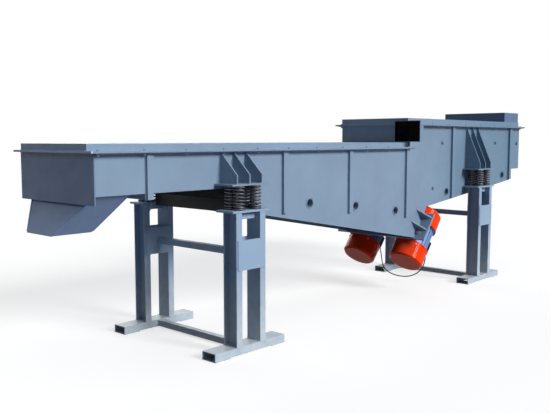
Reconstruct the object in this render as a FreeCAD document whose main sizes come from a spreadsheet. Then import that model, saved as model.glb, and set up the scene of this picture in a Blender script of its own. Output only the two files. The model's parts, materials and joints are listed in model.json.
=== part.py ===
"""Vibrating conveyor: a sprung, covered trough on two channel-section stands,
shaken by two unbalance motors on an inclined seat plate.

Millimetres. +X runs from the discharge end to the feed end, -Y is the near
side, +Z is up, and the origin is on the floor under the middle of the length.
"""
import FreeCAD, Part
import math
import os
import re

import Sketcher

Vector = FreeCAD.Vector
DOC = FreeCAD.newDocument("vibrating_conveyor")
SHEET = DOC.addObject("Spreadsheet::Sheet", "Sizes")

SIZES = {
    # stands
    "stand_x": 1850, "stand_spacing": 3780, "leg_height": 1080,
    "leg_off": 122, "leg_y": "=trough_width / 2 + wall + leg_off",
    "post_depth": 140, "post_flange": 58, "post_web": 6, "post_flange_thk": 9, "post_gap": 190,
    "base_length": 740, "pad_length": 150, "pad_width": 150, "pad_thk": 6,
    "batten_z": 637, "batten_height": 225, "batten_thk": 8, "batten_inset": 12,
    "top_length": 380, "top_depth": 184, "top_thk": 16,
    "top_off": 105, "top_y": "=trough_width / 2 + wall + top_off",
    "top_gusset_drop": 64, "top_gusset_thk": 10,
    "upper_tie": 52, "upper_tie_z": 725, "upper_tie_wall": 5,
    "lower_tie": 50, "lower_tie_z": 10, "lower_tie_wall": 4,
    "beam_width": 126, "beam_drop": 40, "beam_rise": 96, "beam_thk": 6,
    "beam_over": 50, "beam_reach": "=leg_y + beam_over",
    # springs and their brackets
    "spring_height": 182, "spring_radius": 36, "spring_wire": 16, "spring_turns": 6,
    "spring_pitch_x": 170, "spring_pitch_y": 94,
    "seat_length": 385, "seat_thk": 12, "seat_reach": 194, "seat_y": "=trough_width / 2 + wall + seat_reach",
    "bracket_thk": 10, "bracket_pitch": 130, "bracket_nose": 66, "bracket_inset": 12,
    "bracket_lip": 10, "bracket_drop": 6,
    # trough; the cuts that pass right through a sheet run past it by overcut
    "trough_width": 844, "wall": 6, "deck_drop": 27, "deck_thk": 8,
    "deck_z": "=leg_height + spring_height - deck_drop",
    "discharge_x": 3085, "feed_x": 3205, "end_thk": 8, "end_plate_drop": 55,
    "end_plate_side": 33, "end_plate_y": "=trough_width / 2 + wall + end_plate_side",
    "low_depth": 277, "low_top": "=deck_z + low_depth",
    "hood_depth": 510, "hood_top": "=deck_z + hood_depth", "riser_x": 625,
    "belly_start": 1900, "belly_knee_x": 1500, "belly_knee_drop": 236,
    "belly_seat": 128, "feed_seat": 265, "feed_knee_x": 2950, "feed_knee_drop": 135,
    "rim_flange": 55, "rim_flange_thk": 6, "overcut": 1,
    "tube_od": 88, "tube_wall": 6, "tube_fit": 0.1, "tube_proud": 2,
    "tube_a_x": -944, "tube_a_drop": 177, "tube_b_x": -287, "tube_b_drop": 245,
    "tube_c_x": 379, "tube_c_drop": 337, "tube_d_x": 1382, "tube_d_drop": 202,
    "tube_e_x": 2742, "tube_e_drop": 67,
    "rib_width": 50, "rib_depth": 25, "rib_thk": 5, "rib_drop": 6,
    "rib_a_x": -1275, "rib_a_drop": 235, "rib_b_x": -384, "rib_b_drop": 297,
    "rib_c_x": 565, "rib_c_drop": 413, "rib_d_x": 1485, "rib_d_drop": 275,
    "rib_e_x": 2920, "rib_e_drop": 125,
    "frame_x": -2640, "frame_drop": 42,
    # covers, inlet, outlet and vent duct
    "flange_thk": 14, "flange_side": 67, "flange_discharge": 37, "flange_feed": 15,
    "sheet": 4, "rim_inset": 13, "rim_end_inset": 16, "low_rim": 46, "hood_rim": 58,
    "inlet_x": 3007, "inlet_length": 386, "inlet_height": 115, "inlet_wall": 5,
    "inlet_margin": 14, "inlet_width": "=trough_width - 2 * inlet_margin",
    "chute_top_front": 3030, "chute_top_back": 2772, "chute_margin": 22,
    "chute_top_width": "=trough_width - 2 * chute_margin",
    "chute_front": 3220, "chute_back": 2915, "chute_width": 308, "chute_drop": 261, "chute_wall": 5,
    "duct_over": 11, "duct_y": "=trough_width / 2 + duct_over", "duct_width": 299,
    "duct_lift": 66, "duct_z": "=low_top + duct_lift", "duct_neck": 160, "duct_mouth": 211,
    "duct_reach": 64, "duct_gap": 2, "duct_wall": 5,
    # motor seat
    "plate_x": 822, "plate_drop": 555, "plate_z": "=deck_z - plate_drop", "tilt": 51, "plate_thk": 20,
    "plate_off": 122, "plate_half": "=trough_width / 2 + wall + plate_off",
    "plate_lower": 140, "plate_upper": 178,
    "gusset_reach": 150, "gusset_inset": 8, "gusset_thk": 10,
    "gusset_upper": 130, "gusset_lower": -20,
    # motors
    "motor_inset": 250, "motor_y": "=plate_half - motor_inset", "axis_height": 188,
    "housing_r": 150, "housing_wall": 20, "housing_half": 135,
    "collar_r": 173, "collar_len": 15, "shield_len": 40, "cap_r": 178, "cap_half": 318,
    "cap_wall": 4, "cap_fit": 0.3, "cap_chamfer": 18, "cap_overlap": 13, "cap_lip": 4, "cap_lip_len": 14,
    "fin_root": 145, "fin_top": 161, "fin_thk": 8, "fin_half": 119, "fin_start": 45, "fin_step": 16,
    "foot_y": 95, "foot_width": 60, "foot_root": 115, "foot_half": 120,
    "box_out": 205, "box_root": 140, "box_width": 130, "box_half": 75,
    "shaft_r": 30, "shaft_half": 245, "core_r": 95, "core_half": 85, "air_gap": 2,
    "bearing_r": 65, "bearing_len": 36, "running_fit": 0.05,
    "weight_r": 122, "weight_len": 70, "weight_hub_r": 52, "weight_z": 160,
    "bolt_d": 24, "bolt_fit": 1, "bolt_z": 90, "bolt_head_flat": 36, "bolt_head_len": 15,
    "gland_r": 15, "gland_len": 26, "cord_d": 12,
}

NEAR = -1
FAR = 1
SIDES = (("near", NEAR), ("far", FAR))


def fill_sheet():
    """Write every size to the sheet under its own name; one that starts with = follows from others."""
    for row, alias in enumerate(SIZES, 1):
        SHEET.set(f"A{row}", alias)
        SHEET.setAlias(f"B{row}", alias)
    for row, number in enumerate(SIZES.values(), 1):
        SHEET.set(f"B{row}", str(number))
    DOC.recompute()


def full(text):
    """The same expression with each size name pointing at its cell."""
    return re.sub(r"[a-z][a-z_]*", lambda word: ("Sizes." if word[0] in SIZES else "") + word[0], str(text))


def value(text):
    """The number that an expression of sizes gives."""
    result = SHEET.evalExpression(full(text))
    return float(getattr(result, "Value", result))


def bind(thing, **expressions):
    """Tie properties of an object to expressions; _ in a name stands for a dot."""
    for name, text in expressions.items():
        thing.setExpression(name.replace("_", "."), full(text))


def place(thing, x="0", y="0", z="0"):
    """Tie where an object stands to expressions."""
    bind(thing, Placement_Base_x=x, Placement_Base_y=y, Placement_Base_z=z)
    return thing


def box(name, x, y, z):
    """A block between pairs of expressions along each axis."""
    block = DOC.addObject("Part::Box", name)
    bind(block, Length=f"({x[1]}) - ({x[0]})", Width=f"({y[1]}) - ({y[0]})", Height=f"({z[1]}) - ({z[0]})")
    return place(block, x[0], y[0], z[0])


def rod(name, radius, length, x="0", y="0", z="0", turn=None):
    """A cylinder along Z, or turned about an axis by so many degrees."""
    cylinder = DOC.addObject("Part::Cylinder", name)
    if turn:
        cylinder.Placement.Rotation = FreeCAD.Rotation(*turn)
    bind(cylinder, Radius=radius, Height=length)
    return place(cylinder, x, y, z)


def cut(name, base, tool):
    """One shape with another taken out of it."""
    result = DOC.addObject("Part::Cut", name)
    result.Base = base
    result.Tool = tool
    return result


def fuse(name, shapes):
    """Several shapes welded into one."""
    result = DOC.addObject("Part::MultiFuse", name)
    result.Shapes = shapes
    return result


def group(name, shapes):
    """Several separate solids in one node."""
    result = DOC.addObject("Part::Compound", name)
    result.Links = shapes
    return result


def sketch(body, name, plane, outline, circles=()):
    """A closed outline of expression pairs, with round holes, on one of a body's planes."""
    drawing = body.newObject("Sketcher::SketchObject", name)
    drawing.AttachmentSupport = [(next(f for f in body.Origin.OriginFeatures if f.Role == plane), "")]
    drawing.MapMode = "FlatFace"
    corners = [Vector(value(a), value(b), 0) for a, b in outline]
    for index, corner in enumerate(corners):
        drawing.addGeometry(Part.LineSegment(corner, corners[(index + 1) % len(corners)]), False)
    for index in range(len(corners)):
        drawing.addConstraint(Sketcher.Constraint("Coincident", index, 2, (index + 1) % len(corners), 1))
    points = [(index, 1, pair) for index, pair in enumerate(outline)]
    for across, along, diameter in circles:
        circle = Part.Circle(Vector(value(across), value(along), 0), Vector(0, 0, 1), value(diameter) / 2)
        index = drawing.addGeometry(circle, False)
        limit = drawing.addConstraint(Sketcher.Constraint("Diameter", index, value(diameter)))
        drawing.setExpression(f"Constraints[{limit}]", full(diameter))
        points.append((index, 3, (across, along)))
    for index, position, pair in points:
        for kind, text in zip(("DistanceX", "DistanceY"), pair):
            limit = drawing.addConstraint(Sketcher.Constraint(kind, -1, 1, index, position, value(text)))
            drawing.setExpression(f"Constraints[{limit}]", full(text))
    return drawing


def padded(name, plane, outline, length, circles=()):
    """A body made by padding an outline: +X from YZ, -Y from XZ, +Z from XY."""
    body = DOC.addObject("PartDesign::Body", name)
    pad = body.newObject("PartDesign::Pad", f"{name}_pad")
    pad.Profile = sketch(body, f"{name}_sketch", plane, outline, circles)
    bind(pad, Length=length)
    return body


def turned(name, outline):
    """A body revolved about Z from an outline of radius and height."""
    body = DOC.addObject("PartDesign::Body", name)
    profile = sketch(body, f"{name}_sketch", "XZ_Plane", outline)
    revolution = body.newObject("PartDesign::Revolution", f"{name}_revolution")
    revolution.Profile = profile
    revolution.ReferenceAxis = (profile, ["V_Axis"])
    return body


def hollow_bar(name, size, wall, x, y, z):
    """A square tube between two Y values, centred on x, with its underside at z."""
    half = f"{size} / 2"
    outer = box(f"{name}_outer", (f"{x} - {half}", f"{x} + {half}"), y, (z, f"{z} + {size}"))
    inside = (f"{x} - {half} + {wall}", f"{x} + {half} - {wall}")
    inner = box(f"{name}_inner", inside, y, (f"{z} + {wall}", f"{z} + {size} - {wall}"))
    return cut(name, outer, inner)


NODES = []


def node(label, thing):
    """Name a finished sub-part, so that it is checked and exported."""
    thing.Label = label
    NODES.append(thing)
    return thing


STANDS = (("front", "(-stand_x)"), ("rear", "(stand_spacing - stand_x)"))
BASE_TOP = "(pad_thk + post_flange)"
TOP_UNDER = "(leg_height - top_thk)"
LEG_HALF = "(post_gap / 2 + post_flange)"
LEG_INNER = "(leg_y - post_depth / 2)"
LEG_OUTER = "(leg_y + post_depth / 2)"
WALL_IN = "(trough_width / 2)"
WALL_OUT = "(trough_width / 2 + wall)"
SEAT_UNDER = "(leg_height + spring_height)"
SEAT_TOP = "(leg_height + spring_height + seat_thk)"


def span(side, low, high):
    """A Y range on the near or far side, from its distances off the middle."""
    return (f"-({high})", f"-({low})") if side == NEAR else (low, high)


def channel(wide, opening):
    """Outline of a channel section: its web lies on one axis and its flanges run towards `opening`."""
    tip = f"{opening} * post_flange"
    back = f"{opening} * post_web"
    half = f"{wide} / 2"
    lip = f"({half} - post_flange_thk)"
    return [("0", f"-{half}"), (tip, f"-{half}"), (tip, f"-{lip}"), (back, f"-{lip}"),
            (back, lip), (tip, lip), (tip, half), ("0", half)]


def make_stands():
    """Two stands, each with a pair of channel legs, base channels, ties and spring plates."""
    battens = []
    pads = []
    for stand, x in STANDS:
        plates = []
        for side_name, side in SIDES:
            tag = f"{stand}_{side_name}"
            y = f"{side} * leg_y"
            posts = []
            for opening in (-1, 1):
                post = padded(f"post_{tag}_{opening + 1}", "XY_Plane", channel("post_depth", opening),
                              f"{TOP_UNDER} - {BASE_TOP}")
                posts.append(place(post, f"{x} + {opening} * post_gap / 2", y, BASE_TOP))
            node(f"leg_{tag}", group(f"leg_{tag}", posts))

            flat = [(across, f"-({drop})") for drop, across in channel("post_depth", 1)]
            base = padded(f"base_{tag}", "YZ_Plane", flat, "base_length")
            node(f"base_{tag}", place(base, f"{x} - base_length / 2", y, BASE_TOP))
            for end in (-1, 1):
                middle = f"{x} + {end} * (base_length - pad_length) / 2"
                pad_x = (f"{middle} - pad_length / 2", f"{middle} + pad_length / 2")
                pad_y = (f"{y} - pad_width / 2", f"{y} + pad_width / 2")
                pads.append(box(f"pad_{tag}_{end + 1}", pad_x, pad_y, ("0", "pad_thk")))

            batten_x = (f"{x} - {LEG_HALF} + batten_inset", f"{x} + {LEG_HALF} - batten_inset")
            batten_z = ("batten_z", "batten_z + batten_height")
            for face, low in (("inner", f"{LEG_INNER} - batten_thk"), ("outer", LEG_OUTER)):
                batten_y = span(side, low, f"{low} + batten_thk")
                battens.append(box(f"batten_{tag}_{face}", batten_x, batten_y, batten_z))
            plates.append(make_top_plate(tag, side, x))
        node(f"top_plates_{stand}", group(f"top_plates_{stand}", plates))

        reach = f"({LEG_INNER} - batten_thk)"
        node(f"upper_tie_{stand}", hollow_bar(f"upper_tie_{stand}", "upper_tie", "upper_tie_wall",
                                              x, (f"-{reach}", reach), "upper_tie_z"))
        node(f"lower_tie_{stand}", hollow_bar(f"lower_tie_{stand}", "lower_tie", "lower_tie_wall",
                                              x, (f"-{LEG_INNER}", LEG_INNER), "lower_tie_z"))
    node("batten_plates", group("batten_plates", battens))
    node("base_pads", group("base_pads", pads))
    make_cross_beam()


def make_top_plate(tag, side, x):
    """A spring plate on top of a leg, with two small gussets under its inner edge."""
    inner = "(top_y - top_depth / 2)"
    plate_x = (f"{x} - top_length / 2", f"{x} + top_length / 2")
    plate_y = span(side, inner, "top_y + top_depth / 2")
    pieces = [box(f"top_plate_{tag}", plate_x, plate_y, (TOP_UNDER, "leg_height"))]
    outline = [(f"{side} * {LEG_INNER}", TOP_UNDER), (f"{side} * {inner}", TOP_UNDER),
               (f"{side} * {LEG_INNER}", f"{TOP_UNDER} - top_gusset_drop")]
    for end in (-1, 1):
        gusset = padded(f"top_gusset_{tag}_{end + 1}", "YZ_Plane", outline, "top_gusset_thk")
        pieces.append(place(gusset, f"{x} + {end} * (post_gap + post_web) / 2 - top_gusset_thk / 2"))
    return fuse(f"top_weldment_{tag}", pieces)


def make_cross_beam():
    """A folded channel, open downwards, between the front spring plates; its notched ends pass under them."""
    x = STANDS[0][1]
    half = "beam_width / 2"
    inner = f"({half} - beam_thk)"
    low = "-beam_drop"
    web = "(beam_rise - beam_thk)"
    outline = [(f"-{half}", low), (f"-{half}", "beam_rise"), (half, "beam_rise"), (half, low),
               (inner, low), (inner, web), (f"-{inner}", web), (f"-{inner}", low)]
    beam = place(padded("beam_channel", "XZ_Plane", outline, "2 * beam_reach"), x, "beam_reach", TOP_UNDER)
    notch_x = (f"{x} - {half} - overcut", f"{x} + {half} + overcut")
    notch_z = (TOP_UNDER, f"{TOP_UNDER} + beam_rise + overcut")
    notches = []
    for side_name, side in SIDES:
        notch_y = span(side, "top_y - top_depth / 2", "beam_reach + overcut")
        notches.append(box(f"beam_notch_{side_name}", notch_x, notch_y, notch_z))
    node("cross_beam_front", cut("cross_beam_front", beam, group("beam_notches", notches)))


def coil(radius, wire, height, turns):
    """A coil spring of diamond-section wire with closed, flat ends."""
    steps_per_turn = 10
    dead = 0.7
    steps = round(turns * steps_per_turn)
    rings = []
    for step in range(steps + 1):
        turn = step / steps_per_turn
        climb = min(max((turn - dead) / (turns - 2 * dead), 0), 1)
        middle = wire / 2 + climb * (height - wire)
        angle = 2 * math.pi * turn
        ring = []
        for out, up in ((wire / 2, 0), (0, wire / 2), (-wire / 2, 0), (0, -wire / 2)):
            reach = radius + out
            ring.append(Vector(reach * math.cos(angle), reach * math.sin(angle), middle + up))
        rings.append(ring)
    faces = [Part.Face(Part.makePolygon(ring + ring[:1])) for ring in (rings[0], rings[-1])]
    for lower, upper in zip(rings, rings[1:]):
        for k in range(4):
            a, b, c, d = lower[k], lower[(k + 1) % 4], upper[(k + 1) % 4], upper[k]
            faces.append(Part.Face(Part.makePolygon([a, b, c, a])))
            faces.append(Part.Face(Part.makePolygon([a, c, d, a])))
    solid = Part.Solid(Part.Shell(faces))
    if solid.Volume < 0:
        solid.reverse()
    return solid


def make_springs():
    """Four coil springs on each leg, in a node per corner."""
    shape = coil(value("spring_radius"), value("spring_wire"), value("spring_height"), value("spring_turns"))
    for stand, x in STANDS:
        for side_name, side in SIDES:
            coils = []
            for along in (-1, 1):
                for across in (-1, 1):
                    name = f"coil_{stand}_{side_name}_{along + 1}{across + 1}"
                    spring = DOC.addObject("Part::Feature", name)
                    spring.Shape = shape
                    y = f"{side} * top_y + {across} * spring_pitch_y / 2"
                    coils.append(place(spring, f"{x} + {along} * spring_pitch_x / 2", y, "leg_height"))
            label = f"springs_{stand}_{side_name}"
            node(label, group(label, coils))


def make_spring_brackets():
    """Upper spring seats: a plate on three gussets that run up the trough wall."""
    for (stand, x), top in zip(STANDS, ("low_top", "hood_top")):
        for side_name, side in SIDES:
            tag = f"{stand}_{side_name}"
            plate_x = (f"{x} - seat_length / 2", f"{x} + seat_length / 2")
            pieces = [box(f"seat_{tag}", plate_x, span(side, WALL_OUT, "seat_y"), (SEAT_UNDER, SEAT_TOP))]
            nose = "seat_y - bracket_inset"
            profile = [(WALL_OUT, SEAT_TOP), (WALL_OUT, f"{top} - bracket_drop"),
                       (f"{WALL_OUT} + bracket_lip", f"{top} - bracket_drop"),
                       (nose, f"{SEAT_TOP} + bracket_nose"), (nose, SEAT_TOP)]
            outline = [(f"{side} * ({y})", z) for y, z in profile]
            for index in (-1, 0, 1):
                gusset = padded(f"seat_gusset_{tag}_{index + 1}", "YZ_Plane", outline, "bracket_thk")
                pieces.append(place(gusset, f"{x} + {index} * bracket_pitch - bracket_thk / 2"))
            node(f"spring_bracket_{tag}", fuse(f"spring_bracket_{tag}", pieces))


TUBES = [(f"tube_{key}_x", f"deck_z - tube_{key}_drop") for key in "abcde"]
RIB_TOPS = ["low_top"] * 3 + ["hood_top"] * 2
RIBS = [(f"rib_{key}_x", f"(deck_z - rib_{key}_drop)", top) for key, top in zip("abcde", RIB_TOPS)]
DECK_LEFT = "(end_thk - discharge_x)"
DECK_RIGHT = "(feed_x - end_thk)"


def on_plate_back(along):
    """X and Z of a point on the back of the motor seat plate, so far up its slope."""
    return (f"plate_x - plate_thk * sin(tilt * 1deg) + ({along}) * cos(tilt * 1deg)",
            f"plate_z + plate_thk * cos(tilt * 1deg) + ({along}) * sin(tilt * 1deg)")


def make_side_plates():
    """Deep side plates: straight at the ends, a belly that carries the motor seat, a flange along the top."""
    outline = [(DECK_LEFT, "deck_z"), ("-belly_start", "deck_z"),
               ("-belly_knee_x", "deck_z - belly_knee_drop"), on_plate_back("-belly_seat"),
               on_plate_back("feed_seat"), ("feed_knee_x", "deck_z - feed_knee_drop"),
               ("feed_knee_x", "deck_z"), (DECK_RIGHT, "deck_z"), (DECK_RIGHT, "hood_top"),
               ("riser_x", "hood_top"), ("riser_x", "low_top"), (DECK_LEFT, "low_top")]
    holes = [(x, z, "tube_od + 2 * tube_fit") for x, z in TUBES]
    for side_name, side in SIDES:
        label = f"side_plate_{side_name}"
        sheet = padded(f"{label}_sheet", "XZ_Plane", outline, "wall", holes)
        pieces = [place(sheet, y=f"-{WALL_IN}" if side == NEAR else WALL_OUT)]
        for name, x, top in (("low", (DECK_LEFT, "riser_x"), "low_top"),
                             ("hood", ("riser_x", DECK_RIGHT), "hood_top")):
            flange_y = span(side, WALL_IN, f"{WALL_OUT} + rim_flange")
            pieces.append(box(f"{label}_{name}_flange", x, flange_y, (f"{top} - rim_flange_thk", top)))
        node(label, fuse(label, pieces))


def make_trough():
    """Deck, end plates, riser, cross tubes and the stiffening frame under the discharge end."""
    inside = (f"-{WALL_IN}", WALL_IN)
    deck = box("deck_sheet", (DECK_LEFT, DECK_RIGHT), inside, ("deck_z", "deck_z + deck_thk"))
    outlet = box("deck_outlet", ("chute_wall - chute_top_front", "-chute_top_back - chute_wall"),
                 ("chute_wall - chute_top_width / 2", "chute_top_width / 2 - chute_wall"),
                 ("deck_z - overcut", "deck_z + deck_thk + overcut"))
    node("trough_deck", cut("trough_deck", deck, outlet))
    node("discharge_end_plate", box("discharge_end_plate", ("-discharge_x", DECK_LEFT),
                                    ("-end_plate_y", "end_plate_y"), ("deck_z - end_plate_drop", "low_top")))
    node("feed_end_plate", box("feed_end_plate", (DECK_RIGHT, "feed_x"),
                               (f"-{WALL_OUT}", WALL_OUT), ("deck_z", "hood_top")))
    riser = box("riser_sheet", ("riser_x", "riser_x + wall"), inside, ("low_top", "hood_top"))
    vent = box("riser_vent", ("riser_x - overcut", "riser_x + wall + overcut"),
               (f"-{WALL_IN} + duct_wall", "-duct_y + duct_width / 2 - duct_wall"),
               ("duct_z + duct_wall", "duct_z + duct_neck - duct_wall"))
    node("riser_plate", cut("riser_plate", riser, vent))

    tubes = []
    reach = f"({WALL_OUT} + tube_proud)"
    turn = (Vector(1, 0, 0), -90)
    for index, (x, z) in enumerate(TUBES):
        outer = rod(f"tube_outer_{index}", "tube_od / 2", f"2 * {reach}", x, f"-{reach}", z, turn)
        inner = rod(f"tube_bore_{index}", "tube_od / 2 - tube_wall", f"2 * {reach}", x, f"-{reach}", z, turn)
        tubes.append(cut(f"tube_{index}", outer, inner))
    node("cross_tubes", group("cross_tubes", tubes))


def hat(side):
    """Outline of a folded stiffener that stands off the wall on one side."""
    half = "rib_width / 2"
    inner = f"({half} - rib_thk)"
    skin = f"{side} * rib_depth"
    under = f"{side} * (rib_depth - rib_thk)"
    return [(f"-{half}", "0"), (f"-{half}", skin), (half, skin), (half, "0"),
            (inner, "0"), (inner, under), (f"-{inner}", under), (f"-{inner}", "0")]


def make_ribs():
    """Folded vertical stiffeners on both walls, and one frame that passes under the deck."""
    frame = []
    for side_name, side in SIDES:
        ribs = []
        for index, (x, z, top) in enumerate(RIBS):
            rib = padded(f"rib_{side_name}_{index}", "XY_Plane", hat(side), f"{top} - rib_drop - {z}")
            ribs.append(place(rib, x, f"{side} * {WALL_OUT}", z))
        node(f"side_ribs_{side_name}", group(f"side_ribs_{side_name}", ribs))
        upright = padded(f"frame_upright_{side_name}", "XY_Plane", hat(side),
                         "low_top - rib_drop - deck_z + frame_drop")
        frame.append(place(upright, "frame_x", f"{side} * {WALL_OUT}", "deck_z - frame_drop"))
    half = "rib_width / 2"
    inner = f"({half} - rib_thk)"
    outline = [(f"-{half}", "0"), (f"-{half}", "-frame_drop"), (half, "-frame_drop"), (half, "0"),
               (inner, "0"), (inner, "rib_thk - frame_drop"), (f"-{inner}", "rib_thk - frame_drop"),
               (f"-{inner}", "0")]
    bottom = padded("frame_bottom", "XZ_Plane", outline, f"2 * {WALL_OUT}")
    frame.append(place(bottom, "frame_x", WALL_OUT, "deck_z"))
    node("cross_frame", group("cross_frame", frame))


def make_cover(label, x, top, rim, opening=None):
    """A lid: a flat flange on the walls and a shallow pressed tray above it."""
    flange_y = f"({WALL_OUT} + flange_side)"
    tray_y = f"({WALL_OUT} - rim_inset)"
    tray_x = (f"{x[0]} + rim_end_inset", f"{x[1]} - rim_end_inset")
    hole_x = (f"{tray_x[0]} + sheet", f"{tray_x[1]} - sheet")
    hole_y = (f"sheet - {tray_y}", f"{tray_y} - sheet")
    lid_z = f"{top} + flange_thk + {rim}"
    flange = box(f"{label}_flange", x, (f"-{flange_y}", flange_y), (top, f"{top} + flange_thk"))
    tray = box(f"{label}_tray", tray_x, (f"-{tray_y}", tray_y), (f"{top} + flange_thk", lid_z))
    hollow = box(f"{label}_hollow", hole_x, hole_y, (f"{top} - overcut", f"{lid_z} - sheet"))
    cover = cut(f"{label}_shell", fuse(f"{label}_outer", [flange, tray]), hollow)
    if opening:
        mouth = box(f"{label}_mouth", *opening, (f"{lid_z} - sheet - overcut", f"{lid_z} + overcut"))
        cover = cut(f"{label}_open", cover, mouth)
    return node(label, cover)


def make_covers():
    """The low lid, the hood lid with its inlet collar, and the duct below its flange."""
    make_cover("low_cover", ("-discharge_x - flange_discharge", "riser_x"), "low_top", "low_rim")
    mouth_x = ("inlet_x - inlet_length / 2 + inlet_wall", "inlet_x + inlet_length / 2 - inlet_wall")
    mouth_y = ("inlet_wall - inlet_width / 2", "inlet_width / 2 - inlet_wall")
    make_cover("hood_cover", ("riser_x - flange_discharge", "feed_x + flange_feed"), "hood_top", "hood_rim",
               (mouth_x, mouth_y))

    base = "(hood_top + flange_thk + hood_rim)"
    collar = box("collar_outer", ("inlet_x - inlet_length / 2", "inlet_x + inlet_length / 2"),
                 ("-inlet_width / 2", "inlet_width / 2"), (base, f"{base} + inlet_height"))
    bore = box("collar_bore", mouth_x, mouth_y, (f"{base} - overcut", f"{base} + inlet_height + overcut"))
    node("inlet_collar", cut("inlet_collar", collar, bore))

    make_vent_duct()


def make_vent_duct():
    """A short duct on the riser, under the hood's flange, that widens up to its mouth in front of it.

    Beside the wall its back is closed; within the wall it opens through the riser.
    """
    y = ("-duct_y - duct_width / 2", "duct_width / 2 - duct_y")
    front = "riser_x - duct_reach"
    back = "(riser_x - flange_discharge - duct_gap)"
    neck_top = "(duct_z + duct_neck)"
    mouth_top = "(duct_z + duct_mouth)"
    outer = fuse("duct_outer", [box("duct_neck_outer", (front, "riser_x"), y, ("duct_z", neck_top)),
                                box("duct_mouth_outer", (front, back), y, ("duct_z", mouth_top))])
    inside = (f"{y[0]} + duct_wall", f"{y[1]} - duct_wall")
    floor = "duct_z + duct_wall"
    bore = fuse("duct_bore", [
        box("duct_neck_bore", (f"{front} - overcut", "riser_x - duct_wall"), inside,
            (floor, f"{neck_top} - duct_wall")),
        box("duct_passage", (f"{front} - overcut", "riser_x + overcut"),
            (f"-{WALL_IN} + duct_wall", inside[1]), (floor, f"{neck_top} - duct_wall")),
        box("duct_mouth_bore", (f"{front} - overcut", f"{back} - duct_wall"), inside,
            (floor, f"{mouth_top} - duct_wall"))])
    node("vent_duct", cut("vent_duct", outer, bore))


def wedge(name, trim):
    """A block that tapers down from the deck to the chute's mouth, smaller all round by trim."""
    block = DOC.addObject("Part::Wedge", name)
    block.Placement.Rotation = FreeCAD.Rotation(Vector(1, 0, 0), 90)
    bind(block, Xmin=f"{trim} - chute_front", Xmax=f"-chute_back - {trim}", Ymin="0", Ymax="chute_drop",
         Zmin=f"{trim} - chute_width / 2", Zmax=f"chute_width / 2 - {trim}",
         X2min=f"{trim} - chute_top_front", X2max=f"-chute_top_back - {trim}",
         Z2min=f"{trim} - chute_top_width / 2", Z2max=f"chute_top_width / 2 - {trim}")
    return place(block, z="deck_z - chute_drop")


def make_chute():
    """A tapering outlet that leans forward from the deck to a square mouth."""
    chute = cut("discharge_chute", wedge("chute_outer", "0"), wedge("chute_inner", "chute_wall"))
    node("discharge_chute", chute)


MOTOR_FRAME = FreeCAD.Rotation(Vector(0, 1, 0), 90 - SIZES["tilt"])


def incline(thing, off_plate, y="0"):
    """Set an object in the frame of the seat plate: local Z up its slope, local X away from its face."""
    thing.Placement.Rotation = MOTOR_FRAME
    bind(thing, Placement_Rotation_Angle="(90 - tilt) * 1deg")
    return place(thing, f"plate_x + ({off_plate}) * sin(tilt * 1deg)", y,
                 f"plate_z - ({off_plate}) * cos(tilt * 1deg)")


BOLTS = [(f"{side} * motor_y + {row} * foot_y", f"{end} * bolt_z")
         for side in (NEAR, FAR) for row in (-1, 1) for end in (-1, 1)]


def make_motor_seat():
    """The inclined seat plate, the outer gussets behind it and the motor bolts."""
    holes = [(y, z, "bolt_d + 2 * bolt_fit") for y, z in BOLTS]
    edge = [("-plate_half", "-plate_lower"), ("plate_half", "-plate_lower"),
            ("plate_half", "plate_upper"), ("-plate_half", "plate_upper")]
    plate = padded("motor_plate", "YZ_Plane", edge, "plate_thk", holes)
    node("motor_plate", incline(plate, "-plate_thk"))

    gussets = []
    for side_name, side in SIDES:
        wall_y = f"{side} * {WALL_OUT}"
        outline = [("0", wall_y), ("0", f"{side} * (plate_half - gusset_inset)"), ("-gusset_reach", wall_y)]
        for level in ("upper", "lower"):
            gusset = padded(f"gusset_{side_name}_{level}", "XY_Plane", outline, "gusset_thk")
            shift = f"(gusset_{level} - gusset_thk / 2)"
            incline(gusset, "-plate_thk")
            x, z = on_plate_back(shift)
            gussets.append(place(gusset, x, "0", z))
    node("motor_gussets", group("motor_gussets", gussets))

    bolts = []
    for index, (y, along) in enumerate(BOLTS):
        bolts.append(make_bolt(f"bolt_{index}", y, along))
    node("motor_bolts", group("motor_bolts", bolts))


def hexagon(name, low):
    """A hexagon head or nut along X with its flat face at local x = low."""
    prism = DOC.addObject("Part::Prism", name)
    prism.Polygon = 6
    prism.Placement.Rotation = FreeCAD.Rotation(Vector(0, 1, 0), 90)
    bind(prism, Circumradius="bolt_head_flat / sqrt(3)", Height="bolt_head_len")
    return place(prism, low)


def make_bolt(name, y, along):
    """A bolt through the seat plate, its head behind the plate and its shank in the motor's foot."""
    head = hexagon(f"{name}_head", "-bolt_head_len")
    shank = rod(f"{name}_shank", "bolt_d / 2", "plate_thk + bolt_head_len", turn=(Vector(0, 1, 0), 90))
    bolt = fuse(name, [head, shank])
    incline(bolt, "-plate_thk", y)
    x, z = on_plate_back(along)
    return place(bolt, x, y, z)


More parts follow.
